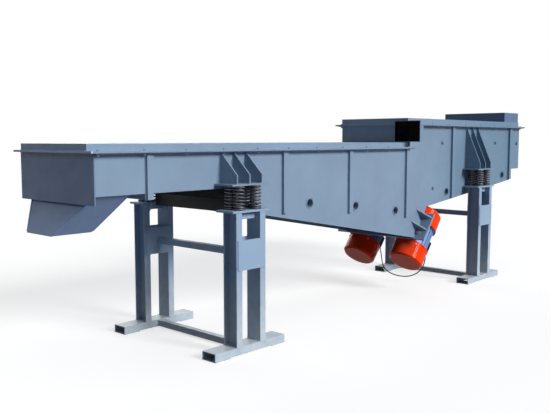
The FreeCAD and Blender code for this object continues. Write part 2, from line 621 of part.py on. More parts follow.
def make_motors():
    """Two unbalance motors: housing, caps, bearings, stator, rotor and eccentric weights."""
    for side_name, side in SIDES:
        tag = f"motor_{side_name}"
        y = f"{side} * motor_y"
        pieces = [
            ("housing", make_housing(tag)),
            ("lower_cap", make_cap(tag, -1)),
            ("upper_cap", make_cap(tag, 1)),
            ("bearings", make_bearings(tag)),
            ("stator", turned(f"{tag}_stator", [
                ("core_r + air_gap", "-core_half"), ("housing_r - housing_wall", "-core_half"),
                ("housing_r - housing_wall", "core_half"), ("core_r + air_gap", "core_half")])),
            ("rotor", turned(f"{tag}_rotor", [
                ("0", "-shaft_half"), ("shaft_r", "-shaft_half"), ("shaft_r", "-core_half"),
                ("core_r", "-core_half"), ("core_r", "core_half"), ("shaft_r", "core_half"),
                ("shaft_r", "shaft_half"), ("0", "shaft_half")])),
            ("weights", make_weights(tag)),
        ]
        for name, piece in pieces:
            node(f"{tag}_{name}", incline(piece, "axis_height", y))


FINS = 5


def make_housing(tag):
    """Cast housing bored for bearings and stator, with end shields, feet, fins and a terminal box."""
    inner_end = "(housing_half - shield_len)"
    collar_end = "(housing_half - collar_len)"
    cavity_r = "housing_r - housing_wall"
    shell = turned(f"{tag}_shell", [
        ("bearing_r", "-housing_half"), ("collar_r", "-housing_half"), ("collar_r", f"-{collar_end}"),
        ("housing_r", f"-{collar_end}"), ("housing_r", collar_end), ("collar_r", collar_end),
        ("collar_r", "housing_half"), ("bearing_r", "housing_half"), ("bearing_r", inner_end),
        (cavity_r, inner_end), (cavity_r, f"-{inner_end}"), ("bearing_r", f"-{inner_end}")])
    pieces = [shell]
    for row in (-1, 1):
        foot_y = (f"{row} * foot_y - foot_width / 2", f"{row} * foot_y + foot_width / 2")
        foot_x = ("-axis_height", "-foot_root")
        foot = box(f"{tag}_foot_{row + 1}", foot_x, foot_y, ("-foot_half", "foot_half"))
        bores = []
        for end in (-1, 1):
            bores.append(rod(f"{tag}_bore_{row + 1}{end + 1}", "bolt_d / 2 + bolt_fit",
                             "bolt_head_len + 2 * overcut", "-axis_height - overcut", f"{row} * foot_y",
                             f"{end} * bolt_z", (Vector(0, 1, 0), 90)))
        pieces.append(cut(f"{tag}_drilled_foot_{row + 1}", foot, group(f"{tag}_bores_{row + 1}", bores)))
    pieces.append(box(f"{tag}_terminal_box", ("box_root", "box_out"), ("-box_width / 2", "box_width / 2"),
                      ("-box_half", "box_half")))
    for row in (-1, 1):
        for index in range(FINS):
            angle = f"{row} * (fin_start + {index} * fin_step)"
            pieces.append(make_fin(f"{tag}_fin_{row + 1}{index}", angle))
    return fuse(f"{tag}_housing", pieces)


def make_fin(name, angle):
    """One cooling fin along a housing, at an angle round it in degrees."""
    outline = [("fin_root", "-fin_thk / 2"), ("fin_top", "-fin_thk / 2"), ("fin_top", "fin_thk / 2"),
               ("fin_root", "fin_thk / 2")]
    fin = padded(name, "XY_Plane", outline, "2 * fin_half")
    fin.Placement.Rotation = FreeCAD.Rotation(Vector(0, 0, 1), value(angle))
    bind(fin, Placement_Rotation_Angle=f"({angle}) * 1deg")
    return place(fin, z="-fin_half")


def make_cap(tag, end):
    """A pressed round cap over one end of a motor, with a rolled lip round its rim."""
    rim = "(housing_half - cap_overlap)"
    lip = "(cap_r + cap_lip)"
    inner = "(collar_r + cap_fit)"
    outline = [("0", "cap_half"), ("cap_r - cap_chamfer", "cap_half"), ("cap_r", "cap_half - cap_chamfer"),
               ("cap_r", f"{rim} + cap_lip_len"), (lip, f"{rim} + cap_lip_len"), (lip, rim),
               (inner, rim), (inner, "cap_half - cap_chamfer"),
               (f"{inner} + cap_wall - cap_chamfer", "cap_half - cap_wall"), ("0", "cap_half - cap_wall")]
    return turned(f"{tag}_cap_{end + 1}", [(r, f"{end} * ({z})") for r, z in outline])


def make_bearings(tag):
    """Two bearing rings in the end shields."""
    rings = []
    for end in (-1, 1):
        middle = f"{end} * (housing_half - shield_len / 2)"
        bore = "shaft_r + running_fit"
        low = f"({middle} - bearing_len / 2)"
        high = f"({middle} + bearing_len / 2)"
        rings.append(turned(f"{tag}_bearing_{end + 1}",
                            [(bore, low), ("bearing_r", low), ("bearing_r", high), (bore, high)]))
    return group(f"{tag}_bearings", rings)


def make_weights(tag):
    """Two half-disc unbalance weights on hubs, one near each end of the shaft."""
    weights = []
    for end, low in ((-1, "-weight_z - weight_len"), (1, "weight_z")):
        disc = rod(f"{tag}_disc_{end + 1}", "weight_r", "weight_len", z=low, turn=(Vector(0, 0, 1), -90))
        disc.Angle = 180
        hub = rod(f"{tag}_hub_{end + 1}", "weight_hub_r", "weight_len", z=low)
        bore = rod(f"{tag}_hub_bore_{end + 1}", "shaft_r", "weight_len", z=low)
        blank = fuse(f"{tag}_weight_blank_{end + 1}", [disc, hub])
        weights.append(cut(f"{tag}_weight_{end + 1}", blank, bore))
    return group(f"{tag}_weights", weights)


# The jumper lead between the terminal boxes: X and Z from its start, and Y as a share of the motor spacing.
LEAD = [(0, 0, 1.0), (33.42, -27.06, 1.0), (45.5, -69.5, 0.985), (51, -131, 0.957), (54, -200, 0.93),
        (54, -264, 0.87), (54, -312, 0.72), (54, -342, 0.48), (54, -354, 0.2), (54, -352, -0.1),
        (54, -335, -0.36), (54, -300, -0.6), (54, -250, -0.79), (53, -190, -0.91), (51, -128, -0.965),
        (45.5, -69.5, -0.988), (33.42, -27.06, -1.0), (0, 0, -1.0)]
BEND_SHARE = 0.45


def rounded_path(points):
    """A wire of straight runs joined by tangent arcs as large as the runs allow, and its bend radii."""
    edges = []
    radii = []
    start = points[0]
    for before, corner, after in zip(points, points[1:], points[2:]):
        reach = BEND_SHARE * min((corner - before).Length, (after - corner).Length)
        enter = (before - corner).normalize()
        leave = (after - corner).normalize()
        half_turn = (math.pi - enter.getAngle(leave)) / 2
        radii.append(reach / math.tan(half_turn))
        first = corner + enter * reach
        last = corner + leave * reach
        centre = corner + (enter + leave).normalize() * (reach / math.sin(half_turn))
        middle = centre + (corner - centre).normalize() * radii[-1]
        edges.append(Part.LineSegment(start, first).toShape())
        edges.append(Part.Arc(first, middle, last).toShape())
        start = last
    edges.append(Part.LineSegment(start, points[-1]).toShape())
    return Part.Wire(edges), radii


def make_lead():
    """Cable glands on the terminal boxes and the lead that hangs between them."""
    glands = []
    for side_name, side in SIDES:
        gland = rod(f"gland_{side_name}", "gland_r", "gland_len")
        gland.Placement.Rotation = MOTOR_FRAME.multiply(FreeCAD.Rotation(Vector(0, 1, 0), 90))
        bind(gland, Placement_Rotation_Angle="(180 - tilt) * 1deg")
        off = "(axis_height + box_out)"
        glands.append(place(gland, f"plate_x + {off} * sin(tilt * 1deg)", f"{side} * motor_y",
                            f"plate_z - {off} * cos(tilt * 1deg)"))
    node("cable_glands", group("cable_glands", glands))

    off = "(axis_height + box_out + gland_len)"
    x = value(f"plate_x + {off} * sin(tilt * 1deg)")
    z = value(f"plate_z - {off} * cos(tilt * 1deg)")
    points = [Vector(x + dx, share * value("motor_y"), z + dz) for dx, dz, share in LEAD]
    path, radii = rounded_path(points)
    print("lead bend radii", [round(radius) for radius in radii])
    ring = Part.Wire(Part.Circle(points[0], points[1] - points[0], value("cord_d") / 2).toShape())
    lead = DOC.addObject("Part::Feature", "motor_lead")
    lead.Shape = path.makePipeShell([ring], True, False)
    section = math.pi * (value("cord_d") / 2) ** 2
    print("lead volume over section times length", round(lead.Shape.Volume / (section * path.Length), 4))
    node("motor_lead", lead)


def export():
    """Check every object, then write each sub-part to its own file."""
    DOC.recompute()
    broken = [thing.Name for thing in DOC.Objects if {"Invalid", "Error"} & set(thing.State)]
    broken += [thing.Label for thing in NODES if thing.Shape.isNull() or not thing.Shape.isValid()]
    if broken:
        raise RuntimeError(f"not sound: {broken}")
    os.makedirs("parts", exist_ok=True)
    for thing in NODES:
        thing.Shape.exportStep(f"parts/{thing.Label}.step")
    box_all = FreeCAD.BoundBox()
    for thing in NODES:
        box_all.add(thing.Shape.BoundBox)
    print(len(NODES), "nodes", box_all)


fill_sheet()
make_stands()
make_springs()
make_spring_brackets()
make_side_plates()
make_trough()
make_ribs()
make_covers()
make_chute()
make_motor_seat()
make_motors()
make_lead()
export()
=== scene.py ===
"""Looks of the vibrating conveyor: finishes for the frame, round-wire springs, the front
cross beam, leg head bars, fasteners, motor trim, weld beads and the lead between the motors.

Metres, in the frame's own axes: +X to the feed end, -Y the near side, +Z up.
"""
import json
import math

import bmesh
import bpy
from mathutils import Matrix, Vector


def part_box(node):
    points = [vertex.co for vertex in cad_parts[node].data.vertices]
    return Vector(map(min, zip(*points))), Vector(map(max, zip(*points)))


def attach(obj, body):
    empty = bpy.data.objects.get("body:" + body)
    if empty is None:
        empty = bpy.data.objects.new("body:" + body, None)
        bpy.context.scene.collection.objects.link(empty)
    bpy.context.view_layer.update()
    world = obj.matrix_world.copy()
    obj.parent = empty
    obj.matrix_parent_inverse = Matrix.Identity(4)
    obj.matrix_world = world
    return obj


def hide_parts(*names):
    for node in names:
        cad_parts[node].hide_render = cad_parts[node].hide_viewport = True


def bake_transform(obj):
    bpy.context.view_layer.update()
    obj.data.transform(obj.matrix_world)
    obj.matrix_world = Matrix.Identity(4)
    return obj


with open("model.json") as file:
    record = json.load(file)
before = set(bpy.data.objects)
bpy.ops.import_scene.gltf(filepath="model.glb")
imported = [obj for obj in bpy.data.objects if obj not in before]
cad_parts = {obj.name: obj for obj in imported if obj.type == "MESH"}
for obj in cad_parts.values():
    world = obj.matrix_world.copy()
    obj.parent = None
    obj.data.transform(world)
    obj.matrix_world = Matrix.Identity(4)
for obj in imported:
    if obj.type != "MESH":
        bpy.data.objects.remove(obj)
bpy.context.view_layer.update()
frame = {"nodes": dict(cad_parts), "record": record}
scene = bpy.context.scene
nodes = frame["nodes"]

STAND_X = {"front": -1.850, "rear": 1.930}
SIDES = ("near", "far")
BOTH = (-1, 1)
UP = (0, 0, 1)
DOWN = (0, 0, -1)


def middle(low, high):
    """The point halfway between two corners."""
    return (Vector(low) + Vector(high)) / 2


# Camera

SENSOR_WIDTH = 36
FOCAL_LENGTH = 46.24
CAMERA_PLACE = (-5.558, -4.285, 1.595)
CAMERA_PITCH = math.radians(84.628)
CAMERA_HEADING = math.radians(-47.274)


def set_camera():
    """Stand the camera where the photograph was taken."""
    lens = bpy.data.cameras.new("photo_camera")
    lens.sensor_fit = "HORIZONTAL"
    lens.sensor_width = SENSOR_WIDTH
    lens.lens = FOCAL_LENGTH
    camera = bpy.data.objects.new("photo_camera", lens)
    camera.location = CAMERA_PLACE
    camera.rotation_euler = (CAMERA_PITCH, 0, CAMERA_HEADING)
    scene.collection.objects.link(camera)
    scene.camera = camera


# Motor seat

TILT = math.radians(51)
OFF_PLATE = Vector((math.sin(TILT), 0, -math.cos(TILT)))
UP_SLOPE = Vector((math.cos(TILT), 0, math.sin(TILT)))
ACROSS = Vector((0, 1, 0))
PLATE_FACE = Vector((0.822, 0, 0.680))
AXIS_HEIGHT = 0.188
FIN_TOP = 0.161

# Directions in the seat's own frame
OFF_SEAT = (1, 0, 0)
INTO_SEAT = (-1, 0, 0)


def seat_frame(position):
    """A matrix in the motor seat's frame: +X off the plate, +Z up its slope."""
    turn = Matrix((OFF_PLATE, ACROSS, UP_SLOPE)).transposed().to_4x4()
    return Matrix.Translation(position) @ turn


# Finishes


def rgb(red, green, blue):
    """A colour as it is seen on screen, as the shader's linear values."""
    linear = []
    for level in (red / 255, green / 255, blue / 255):
        linear.append(level / 12.92 if level <= 0.04045 else ((level + 0.055) / 1.055) ** 2.4)
    return (*linear, 1)


def toned(colour, factor):
    """The same colour, lighter or darker."""
    return (*(min(level * factor, 1) for level in colour[:3]), 1)


PAINT = rgb(131, 153, 176)
STAND_PAINT = toned(PAINT, 1.3)
# Painted shade: darker, bluer copies of the paint and of the feed tone for parts that lie in shade
SHADED_PAINT = rgb(109, 133, 168)
FEED_TONE = rgb(101, 131, 154)
SHADED_FEED_TONE = rgb(83, 109, 141)
# Painted highlight: a pale tone on the low lid's end lip, standing in for light from above
LIP_PAINTED_LIGHT = rgb(176, 198, 232)
# Black for the front cross beam: partly its own dark paint, partly painted shade under the trough
BEAM_BLACK_AND_SHADE = rgb(50, 50, 50)
CAP_ORANGE = rgb(252, 62, 4)
MOTOR_BLUE = rgb(128, 164, 212)
BOX_BLUE = rgb(33, 47, 72)
SPRING_GREY = rgb(84, 86, 92)
STEEL_GREY = rgb(150, 152, 156)
GLAND_BLACK = rgb(30, 30, 33)
RUBBER_BLACK = rgb(26, 26, 28)
DUST = rgb(164, 160, 150)
# A pale tone laid in patches on the stand, paler towards the floor
PALE_NEAR_FLOOR = rgb(206, 214, 218)
PRIMER = rgb(92, 84, 78)
STAIN = rgb(74, 56, 44)
# Near-black painted shade, laid inside the belly, inside the vent duct's mouth and under the end lip
PAINTED_SHADE = rgb(6, 6, 7)

# The part of a noise that is used, and the width over which a patch fades
MIDDLE = (0.3, 0.7)
FADE = 0.002

# The colour sockets of Blender's Mix node
MIX_UNDER = 6
MIX_OVER = 7
MIX_RESULT = 2


class Finish:
    """A node material that is put together a layer at a time."""

    def __init__(self, name, roughness, metallic=0.0, shine=0.5):
        self.material = bpy.data.materials.new(name)
        self.material.use_nodes = True
        self.tree = self.material.node_tree
        self.shader = self.tree.nodes["Principled BSDF"]
        self.shader.inputs["Roughness"].default_value = roughness
        self.shader.inputs["Metallic"].default_value = metallic
        self.shader.inputs["Specular IOR Level"].default_value = shine
        self.place = self.tree.nodes.new("ShaderNodeTexCoord").outputs["Object"]
        self.colour = None
        self.normal = None

    def join(self, source, target):
        """Link an output to an input."""
        self.tree.links.new(source, target)

    def stretched(self, scale):
        """Object coordinates stretched by a factor along each axis."""
        mapping = self.tree.nodes.new("ShaderNodeMapping")
        mapping.inputs["Scale"].default_value = scale
        self.join(self.place, mapping.inputs["Vector"])
        return mapping.outputs["Vector"]

    def noise(self, scale, detail, rough=0.55, place=None):
        """A soft random field from 0 to 1."""
        field = self.tree.nodes.new("ShaderNodeTexNoise")
        field.inputs["Scale"].default_value = scale
        field.inputs["Detail"].default_value = detail
        field.inputs["Roughness"].default_value = rough
        self.join(place or self.place, field.inputs["Vector"])
        return field.outputs["Fac"]

    def spread(self, field, low, high, bottom=0.0, top=1.0):
        """A field read from low to high, as bottom to top."""
        span = self.tree.nodes.new("ShaderNodeMapRange")
        span.inputs["From Min"].default_value = low
        span.inputs["From Max"].default_value = high
        span.inputs["To Min"].default_value = bottom
        span.inputs["To Max"].default_value = top
        self.join(field, span.inputs["Value"])
        return span.outputs["Result"]

    def mottled(self, scale, detail, bottom=0.0, top=1.0):
        """The middle of a noise, as bottom to top."""
        return self.spread(self.noise(scale, detail), *MIDDLE, bottom, top)

    def times(self, one, other):
        """The product of two fields."""
        product = self.tree.nodes.new("ShaderNodeMath")
        product.operation = "MULTIPLY"
        self.join(one, product.inputs[0])
        self.join(other, product.inputs[1])
        return product.outputs["Value"]

    def axis(self, source, letter):
        """One axis of a vector."""
        split = self.tree.nodes.new("ShaderNodeSeparateXYZ")
        self.join(source, split.inputs["Vector"])
        return split.outputs[letter]

    def off_middle(self, letter):
        """How far a place lies from the middle along an axis, on either side."""
        size = self.tree.nodes.new("ShaderNodeMath")
        size.operation = "ABSOLUTE"
        self.join(self.axis(self.place, letter), size.inputs[0])
        return size.outputs["Value"]

    def along(self, direction):
        """How far a place lies along a direction."""
        reach = self.tree.nodes.new("ShaderNodeVectorMath")
        reach.operation = "DOT_PRODUCT"
        reach.inputs[1].default_value = direction
        self.join(self.place, reach.inputs[0])
        return reach.outputs["Value"]

    def within(self, low, high):
        """1 inside a box, fading to 0 across its edge."""
        field = None
        for letter, start, stop in zip("XYZ", low, high):
            for limit, outside in ((start, start - FADE), (stop, stop + FADE)):
                side = self.spread(self.axis(self.place, letter), outside, limit)
                field = self.times(field, side) if field else side
        return field

    def turned(self, letter, start, stop):
        """0 to 1 as a face turns from one share of an axis to another."""
        normal = self.tree.nodes.new("ShaderNodeNewGeometry").outputs["Normal"]
        return self.spread(self.axis(normal, letter), start, stop)

    def base(self, dark, light, field):
        """The ground colour, drifting from dark to light."""
        mix = self.tree.nodes.new("ShaderNodeMix")
        mix.data_type = "RGBA"
        mix.inputs[MIX_UNDER].default_value = dark
        mix.inputs[MIX_OVER].default_value = light
        self.join(field, mix.inputs["Factor"])
        self.colour = mix.outputs[MIX_RESULT]

    def over(self, colour, amount):
        """Another colour laid over what is there, by a field."""
        mix = self.tree.nodes.new("ShaderNodeMix")
        mix.data_type = "RGBA"
        mix.inputs[MIX_OVER].default_value = colour
        self.join(amount, mix.inputs["Factor"])
        self.join(self.colour, mix.inputs[MIX_UNDER])
        self.colour = mix.outputs[MIX_RESULT]

    def dusty(self, lean, amount):
        """Dust by a field, on the faces that look up by more than a lean."""
        self.over(DUST, self.times(self.turned("Z", lean, 1.0), amount))

    def bump(self, field, strength, depth):
        """Relief by a field, on top of the relief that is there."""
        relief = self.tree.nodes.new("ShaderNodeBump")
        relief.inputs["Strength"].default_value = strength
        relief.inputs["Distance"].default_value = depth
        self.join(field, relief.inputs["Height"])
        if self.normal:
            self.join(self.normal, relief.inputs["Normal"])
        self.normal = relief.outputs["Normal"]

    def done(self, roughness):
        """Link the colour, the roughness and the relief to the shader."""
        self.join(self.colour, self.shader.inputs["Base Color"])
        self.join(roughness, self.shader.inputs["Roughness"])
        self.join(self.normal, self.shader.inputs["Normal"])
        return self.material


PLATE_DUST = 0.22
STAND_DUST = 0.3
BEAM_DUST = 0.1
SATIN = 0.3
BEAM_SHINE = 0.1
DUCT_SHINE = 0.03
CAP_SHINE = 0.05

# Heights and reaches over which a layer of the enamel comes in
FEET = (0.09, 0.0)
# The stand grows paler from the first height down to the second
PALER_BELOW = (0.66, 0.15)
FLANGE_TIPS = (0.484, 0.495)
FEED_END = (0.5, 2.6)
# Heights over which painted shadow comes in under the discharge end's lip
END_PAINTED_SHADOW = (1.468, 1.492)

# Boxes in which the paint has another tone: a painted highlight on the low lid's end lip, painted shade
# on the belly's inner faces and painted shade inside the vent duct
LIP_END = ((-3.130, -0.500, 1.513), (-3.110, 0.500, 1.527))
BELLY_INSIDE = ((-3.080, -0.4225, 0.600), (-0.900, 0.4225, 1.236))
DUCT_INSIDE = ((0.563, -0.578, 1.583), (0.640, -0.288, 1.785))


def sheet_enamel(name, colour, worn="flanges", dust=PLATE_DUST, shine=SATIN, feed=FEED_TONE,
                 patch=None, painted_shadow=None):
    """Satin enamel on plate: drifting tone, faint runs, scuffs, dust on top and chips.

    A stand is worn at its feet and paler towards the floor, a trough along the tips of its flanges,
    and it takes the feed tone towards its feed end. A patch is a tone and the box that it fills, on
    faces that don't look to the feed end. A painted shadow is the pair of heights over which painted
    shade comes in.
    """
    finish = Finish(name, roughness=0.45, shine=shine)
    height = finish.axis(finish.place, "Z")
    drift = finish.spread(finish.noise(scale=1.6, detail=4), low=0.32, high=0.68)
    finish.base(toned(colour, 0.92), toned(colour, 1.06), drift)
    runs = finish.noise(scale=7.0, detail=3, rough=0.6, place=finish.stretched((1.0, 1.0, 0.1)))
    finish.over(toned(colour, 0.78), finish.spread(runs, low=0.56, high=0.82, top=0.28))
    scuffs = finish.noise(scale=26.0, detail=6, rough=0.7)
    finish.over(toned(colour, 1.2), finish.spread(scuffs, low=0.62, high=0.72, top=0.2))
    finish.dusty(lean=0.7, amount=finish.mottled(scale=5.0, detail=5, bottom=dust * 0.3, top=dust))
    if worn == "feet":
        bare = finish.spread(height, *FEET)
        patchy = finish.spread(finish.noise(scale=11.0, detail=5), low=0.2, high=0.7, bottom=0.4)
        finish.over(PALE_NEAR_FLOOR, finish.times(finish.spread(height, *PALER_BELOW, top=0.85), patchy))
    else:
        bare = finish.spread(finish.off_middle("Y"), *FLANGE_TIPS)
        finish.over(feed, finish.spread(finish.axis(finish.place, "X"), *FEED_END, top=0.95))
    chips = finish.spread(finish.noise(scale=46.0, detail=7, rough=0.72), low=0.59, high=0.65, top=0.8)
    finish.over(PRIMER, finish.times(chips, bare))
    if patch:
        tone, low, high = patch
        finish.over(tone, finish.times(finish.within(low, high), finish.turned("X", 0.6, 0.4)))
    if painted_shadow:
        # Painted shade, standing in for the shadow under an overhang
        finish.over(PAINTED_SHADE, finish.spread(height, *painted_shadow, top=0.75))
    finish.bump(finish.noise(scale=360.0, detail=2), strength=0.10, depth=0.0006)
    finish.bump(finish.noise(scale=3.2, detail=1), strength=0.10, depth=0.02)
    return finish.done(finish.mottled(scale=12.0, detail=4, bottom=0.38, top=0.56))


def cap_enamel():
    """Glossy orange enamel on the pressed motor caps, with scratches and a film of dust."""
    finish = Finish("cap_enamel", roughness=0.12, shine=CAP_SHINE)
    finish.base(toned(CAP_ORANGE, 0.86), toned(CAP_ORANGE, 1.05), finish.mottled(scale=6.0, detail=4))
    scratches = finish.noise(scale=30.0, detail=6, rough=0.7, place=finish.stretched((1.0, 6.0, 1.0)))
    finish.over(toned(CAP_ORANGE, 0.62), finish.spread(scratches, low=0.66, high=0.74, top=0.4))
    film = finish.spread(finish.noise(scale=9.0, detail=5), low=0.4, high=0.75, top=0.22)
    finish.dusty(lean=0.1, amount=film)
    finish.bump(finish.noise(scale=280.0, detail=2), strength=0.06, depth=0.0005)
    return finish.done(finish.mottled(scale=16.0, detail=5, bottom=0.08, top=0.18))


def motor_casting():
    """Blue enamel over a sand casting, with a dark terminal box."""
    finish = Finish("motor_casting", roughness=0.5, shine=SATIN)
    finish.base(toned(MOTOR_BLUE, 0.75), toned(MOTOR_BLUE, 1.2), finish.mottled(scale=8.0, detail=5))
    box = PLATE_FACE.dot(OFF_PLATE) + AXIS_HEIGHT + FIN_TOP
    finish.over(BOX_BLUE, finish.spread(finish.along(OFF_PLATE), box, box + FADE))
    film = finish.spread(finish.noise(scale=14.0, detail=5), low=0.35, high=0.75, top=0.3)
    finish.dusty(lean=0.2, amount=film)
    finish.bump(finish.noise(scale=150.0, detail=4, rough=0.6), strength=0.35, depth=0.0012)
    finish.bump(finish.noise(scale=24.0, detail=2), strength=0.2, depth=0.002)
    return finish.done(finish.mottled(scale=22.0, detail=4, bottom=0.4, top=0.6))


def steel(name, colour, roughness, grain, stain):
    """Bare steel with a stretched grain and stains."""
    finish = Finish(name, roughness, metallic=0.85)
    lines = finish.noise(scale=40.0, detail=4, rough=0.6, place=finish.stretched(grain))
    finish.base(toned(colour, 0.8), toned(colour, 1.15), finish.spread(lines, *MIDDLE))
    spots = finish.noise(scale=30.0, detail=5, rough=0.65)
    finish.over(STAIN, finish.spread(spots, low=0.58, high=0.74, top=stain))
    finish.bump(lines, strength=0.15, depth=0.0004)
    return finish.done(finish.mottled(60.0, 4, bottom=roughness - 0.08, top=roughness + 0.12))


def black_goods(name, colour, roughness, skin):
    """Black rubber or moulded plastic with a fine skin and a little dust."""
    finish = Finish(name, roughness, shine=SATIN)
    finish.base(toned(colour, 0.8), toned(colour, 1.3), finish.mottled(scale=35.0, detail=4))
    film = finish.spread(finish.noise(scale=50.0, detail=4), low=0.45, high=0.8, top=0.18)
    finish.dusty(lean=0.2, amount=film)
    finish.bump(finish.noise(scale=skin, detail=2), strength=0.12, depth=0.0004)
    return finish.done(finish.mottled(70.0, 3, bottom=roughness - 0.08, top=roughness + 0.1))


FINISHES = {
    "trough_paint": sheet_enamel("trough_enamel", PAINT),
    "stand_paint": sheet_enamel("stand_enamel", STAND_PAINT, worn="feet", dust=STAND_DUST),
    "spring_steel": steel("spring_steel", SPRING_GREY, roughness=0.44, grain=(1, 1, 3), stain=0.5),
    "cap_paint": cap_enamel(),
    "motor_paint": motor_casting(),
    "bare_steel": steel("bare_steel", STEEL_GREY, roughness=0.32, grain=(1, 1, 8), stain=0.3),
    "gland_plastic": black_goods("gland_plastic", GLAND_BLACK, roughness=0.42, skin=300.0),
    "cable_rubber": black_goods("cable_rubber", RUBBER_BLACK, roughness=0.55, skin=500.0),
}

# The duct's enamel, near-black inside as painted shade in its mouth
DUCT_ENAMEL = sheet_enamel("duct_enamel", PAINT, shine=DUCT_SHINE, patch=(PAINTED_SHADE, *DUCT_INSIDE))
# Painted shade: a darker copy of the trough enamel for the collar, the chute and the end plate
SHADED_ENAMEL = sheet_enamel("shaded_enamel", SHADED_PAINT, feed=SHADED_FEED_TONE)
BEAM_ENAMEL = sheet_enamel("beam_enamel", BEAM_BLACK_AND_SHADE, dust=BEAM_DUST, shine=BEAM_SHINE)
# The end plate: the shaded paint, with a painted shadow under the lid's end lip
END_ENAMEL = sheet_enamel("end_plate_enamel", SHADED_PAINT, painted_shadow=END_PAINTED_SHADOW)
# The side plates' enamel, with painted shade on the belly's inner faces below the deck
WALL_ENAMEL = sheet_enamel("wall_enamel", PAINT, patch=(PAINTED_SHADE, *BELLY_INSIDE))
# The low lid's enamel, with a painted highlight on the lip at its discharge end
LID_ENAMEL = sheet_enamel("low_lid_enamel", PAINT, patch=(LIP_PAINTED_LIGHT, *LIP_END))
OWN_FINISHES = {
    "vent_duct": DUCT_ENAMEL,
    "inlet_collar": SHADED_ENAMEL,
    "discharge_chute": SHADED_ENAMEL,
    "discharge_end_plate": END_ENAMEL,
    "low_cover": LID_ENAMEL,
    "side_plate_near": WALL_ENAMEL,
    "side_plate_far": WALL_ENAMEL,
}


def dress_frame():
    """Give every CAD node the finish of its slot, or one of its own."""
    slots = {row["node"]: row["material_slot"] for row in frame["record"]["subparts"]}
    for name, thing in nodes.items():
        thing.data.materials.clear()
        thing.data.materials.append(OWN_FINISHES.get(name, FINISHES[slots[name]]))


# Modelling aids

HEX = 6

# Limits for choosing a face by its normal, and a point by its place
UPWARD = 0.9
UPRIGHT = 0.1
TOUCHING = 1e-5

SHARP_ANGLE = 35
EDGE_RADIUS = 0.001
EDGE_STEPS = 2


def clear_selection():
    """Leave nothing selected."""
    bpy.ops.object.select_all(action="DESELECT")


def edit_mode():
    """Go into the active piece's mesh."""
    bpy.ops.object.mode_set(mode="EDIT")


def object_mode():
    """Come out of the mesh again."""
    bpy.ops.object.mode_set(mode="OBJECT")


def pick(kind, test):
    """In edit mode, select the faces, edges or vertices that a test chooses."""
    mesh = bpy.context.active_object.data
    form = bmesh.from_edit_mesh(mesh)
    bpy.ops.mesh.select_mode(type={"faces": "FACE", "edges": "EDGE", "verts": "VERT"}[kind])
    bpy.ops.mesh.select_all(action="DESELECT")
    for part in getattr(form, kind):
        part.select_set(test(part))
    form.select_flush_mode()
    bmesh.update_edit_mesh(mesh)


def looks_up(face):
    """Whether a face looks upward."""
    return face.normal.z > UPWARD


def edge_middle(edge):
    """The point halfway along an edge."""
    return (edge.verts[0].co + edge.verts[1].co) / 2


def edge_reach(edge, letter):
    """How far an edge reaches along an axis."""
    start, stop = (getattr(vertex.co, letter) for vertex in edge.verts)
    return abs(start - stop)


def add_cylinder(sides, radius, height, foot=0.0):
    """Add a cylinder that stands along +Z from its foot."""
    bpy.ops.mesh.primitive_cylinder_add(vertices=sides, radius=radius, depth=height,
                                        location=(0, 0, foot + height / 2))


def extrude(rise):
    """In edit mode, draw what is selected along Z."""
    bpy.ops.mesh.extrude_region_move(TRANSFORM_OT_translate={"value": (0, 0, rise)})


def face_outward():
    """In edit mode, turn every face outward."""
    bpy.ops.mesh.select_all(action="SELECT")
    bpy.ops.mesh.normals_make_consistent(inside=False)


def add_modifier(piece, kind, **settings):
    """Put a modifier on a piece and apply it."""
    modifier = piece.modifiers.new(kind.lower(), kind)
    for name, setting in settings.items():
        setattr(modifier, name, setting)
    bpy.context.view_layer.objects.active = piece
    bpy.ops.object.modifier_apply(modifier=modifier.name)


def break_edges(piece):
    """Take the sharpness off a piece's edges."""
    add_modifier(piece, "BEVEL", width=EDGE_RADIUS, segments=EDGE_STEPS, limit_method="ANGLE")


def copies(model, places):
    """Copies of a model, each with its own mesh, at a list of matrices."""
    made = []
    for place in places:
        copy = model.copy()
        copy.data = model.data.copy()
        copy.data.transform(place)
        scene.collection.objects.link(copy)
        made.append(copy)
    return made


def joined(name, pieces):
    """Several meshes made one piece."""
    clear_selection()
    for piece in pieces:
        piece.select_set(True)
    bpy.context.view_layer.objects.active = pieces[0]
    if len(pieces) > 1:
        bpy.ops.object.join()
    pieces[0].name = name
    pieces[0].data.name = name
    return pieces[0]


def take(piece):
    """Select one piece alone and make it the active one."""
    clear_selection()
    piece.select_set(True)
    bpy.context.view_layer.objects.active = piece


def settle(piece):
    """Put a piece's place into its mesh."""
    take(piece)
    bpy.ops.object.transform_apply(location=True, rotation=True, scale=True)


def smooth(piece, degrees):
    """Smooth shading across all but sharp edges."""
    take(piece)
    bpy.ops.object.shade_smooth_by_angle(angle=math.radians(degrees))


def dress(piece, slot, finish=None):
    """Give a new piece the finish of a slot, or one of its own."""
    piece.data.materials.clear()
    piece.data.materials.append(finish or FINISHES[slot])


def mount(piece, body, slot, degrees=SHARP_ANGLE, finish=None):
    """Shade, finish and carry a new piece."""
    smooth(piece, degrees)
    dress(piece, slot, finish)
    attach(piece, body)
    return piece


def drop(*models):
    """Take away the models that were only copied from."""
    for model in models:
        bpy.data.objects.remove(model)


def facing(normal, position):
    """A matrix that stands a model's +Z along a normal, at a position."""
    turn = Vector(normal).to_track_quat("Z", "Y").to_matrix().to_4x4()
    return Matrix.Translation(position) @ turn


# Lead between the motors

LEAD_START = Vector((1.147624, 0, 0.416315))
MOTOR_Y = 0.3
CORD_DIAMETER = 0.012
CORD_ROUNDNESS = 5
CORD_STEPS = 12
CORD_ORDER = 3
MM_IN_METRE = 1000

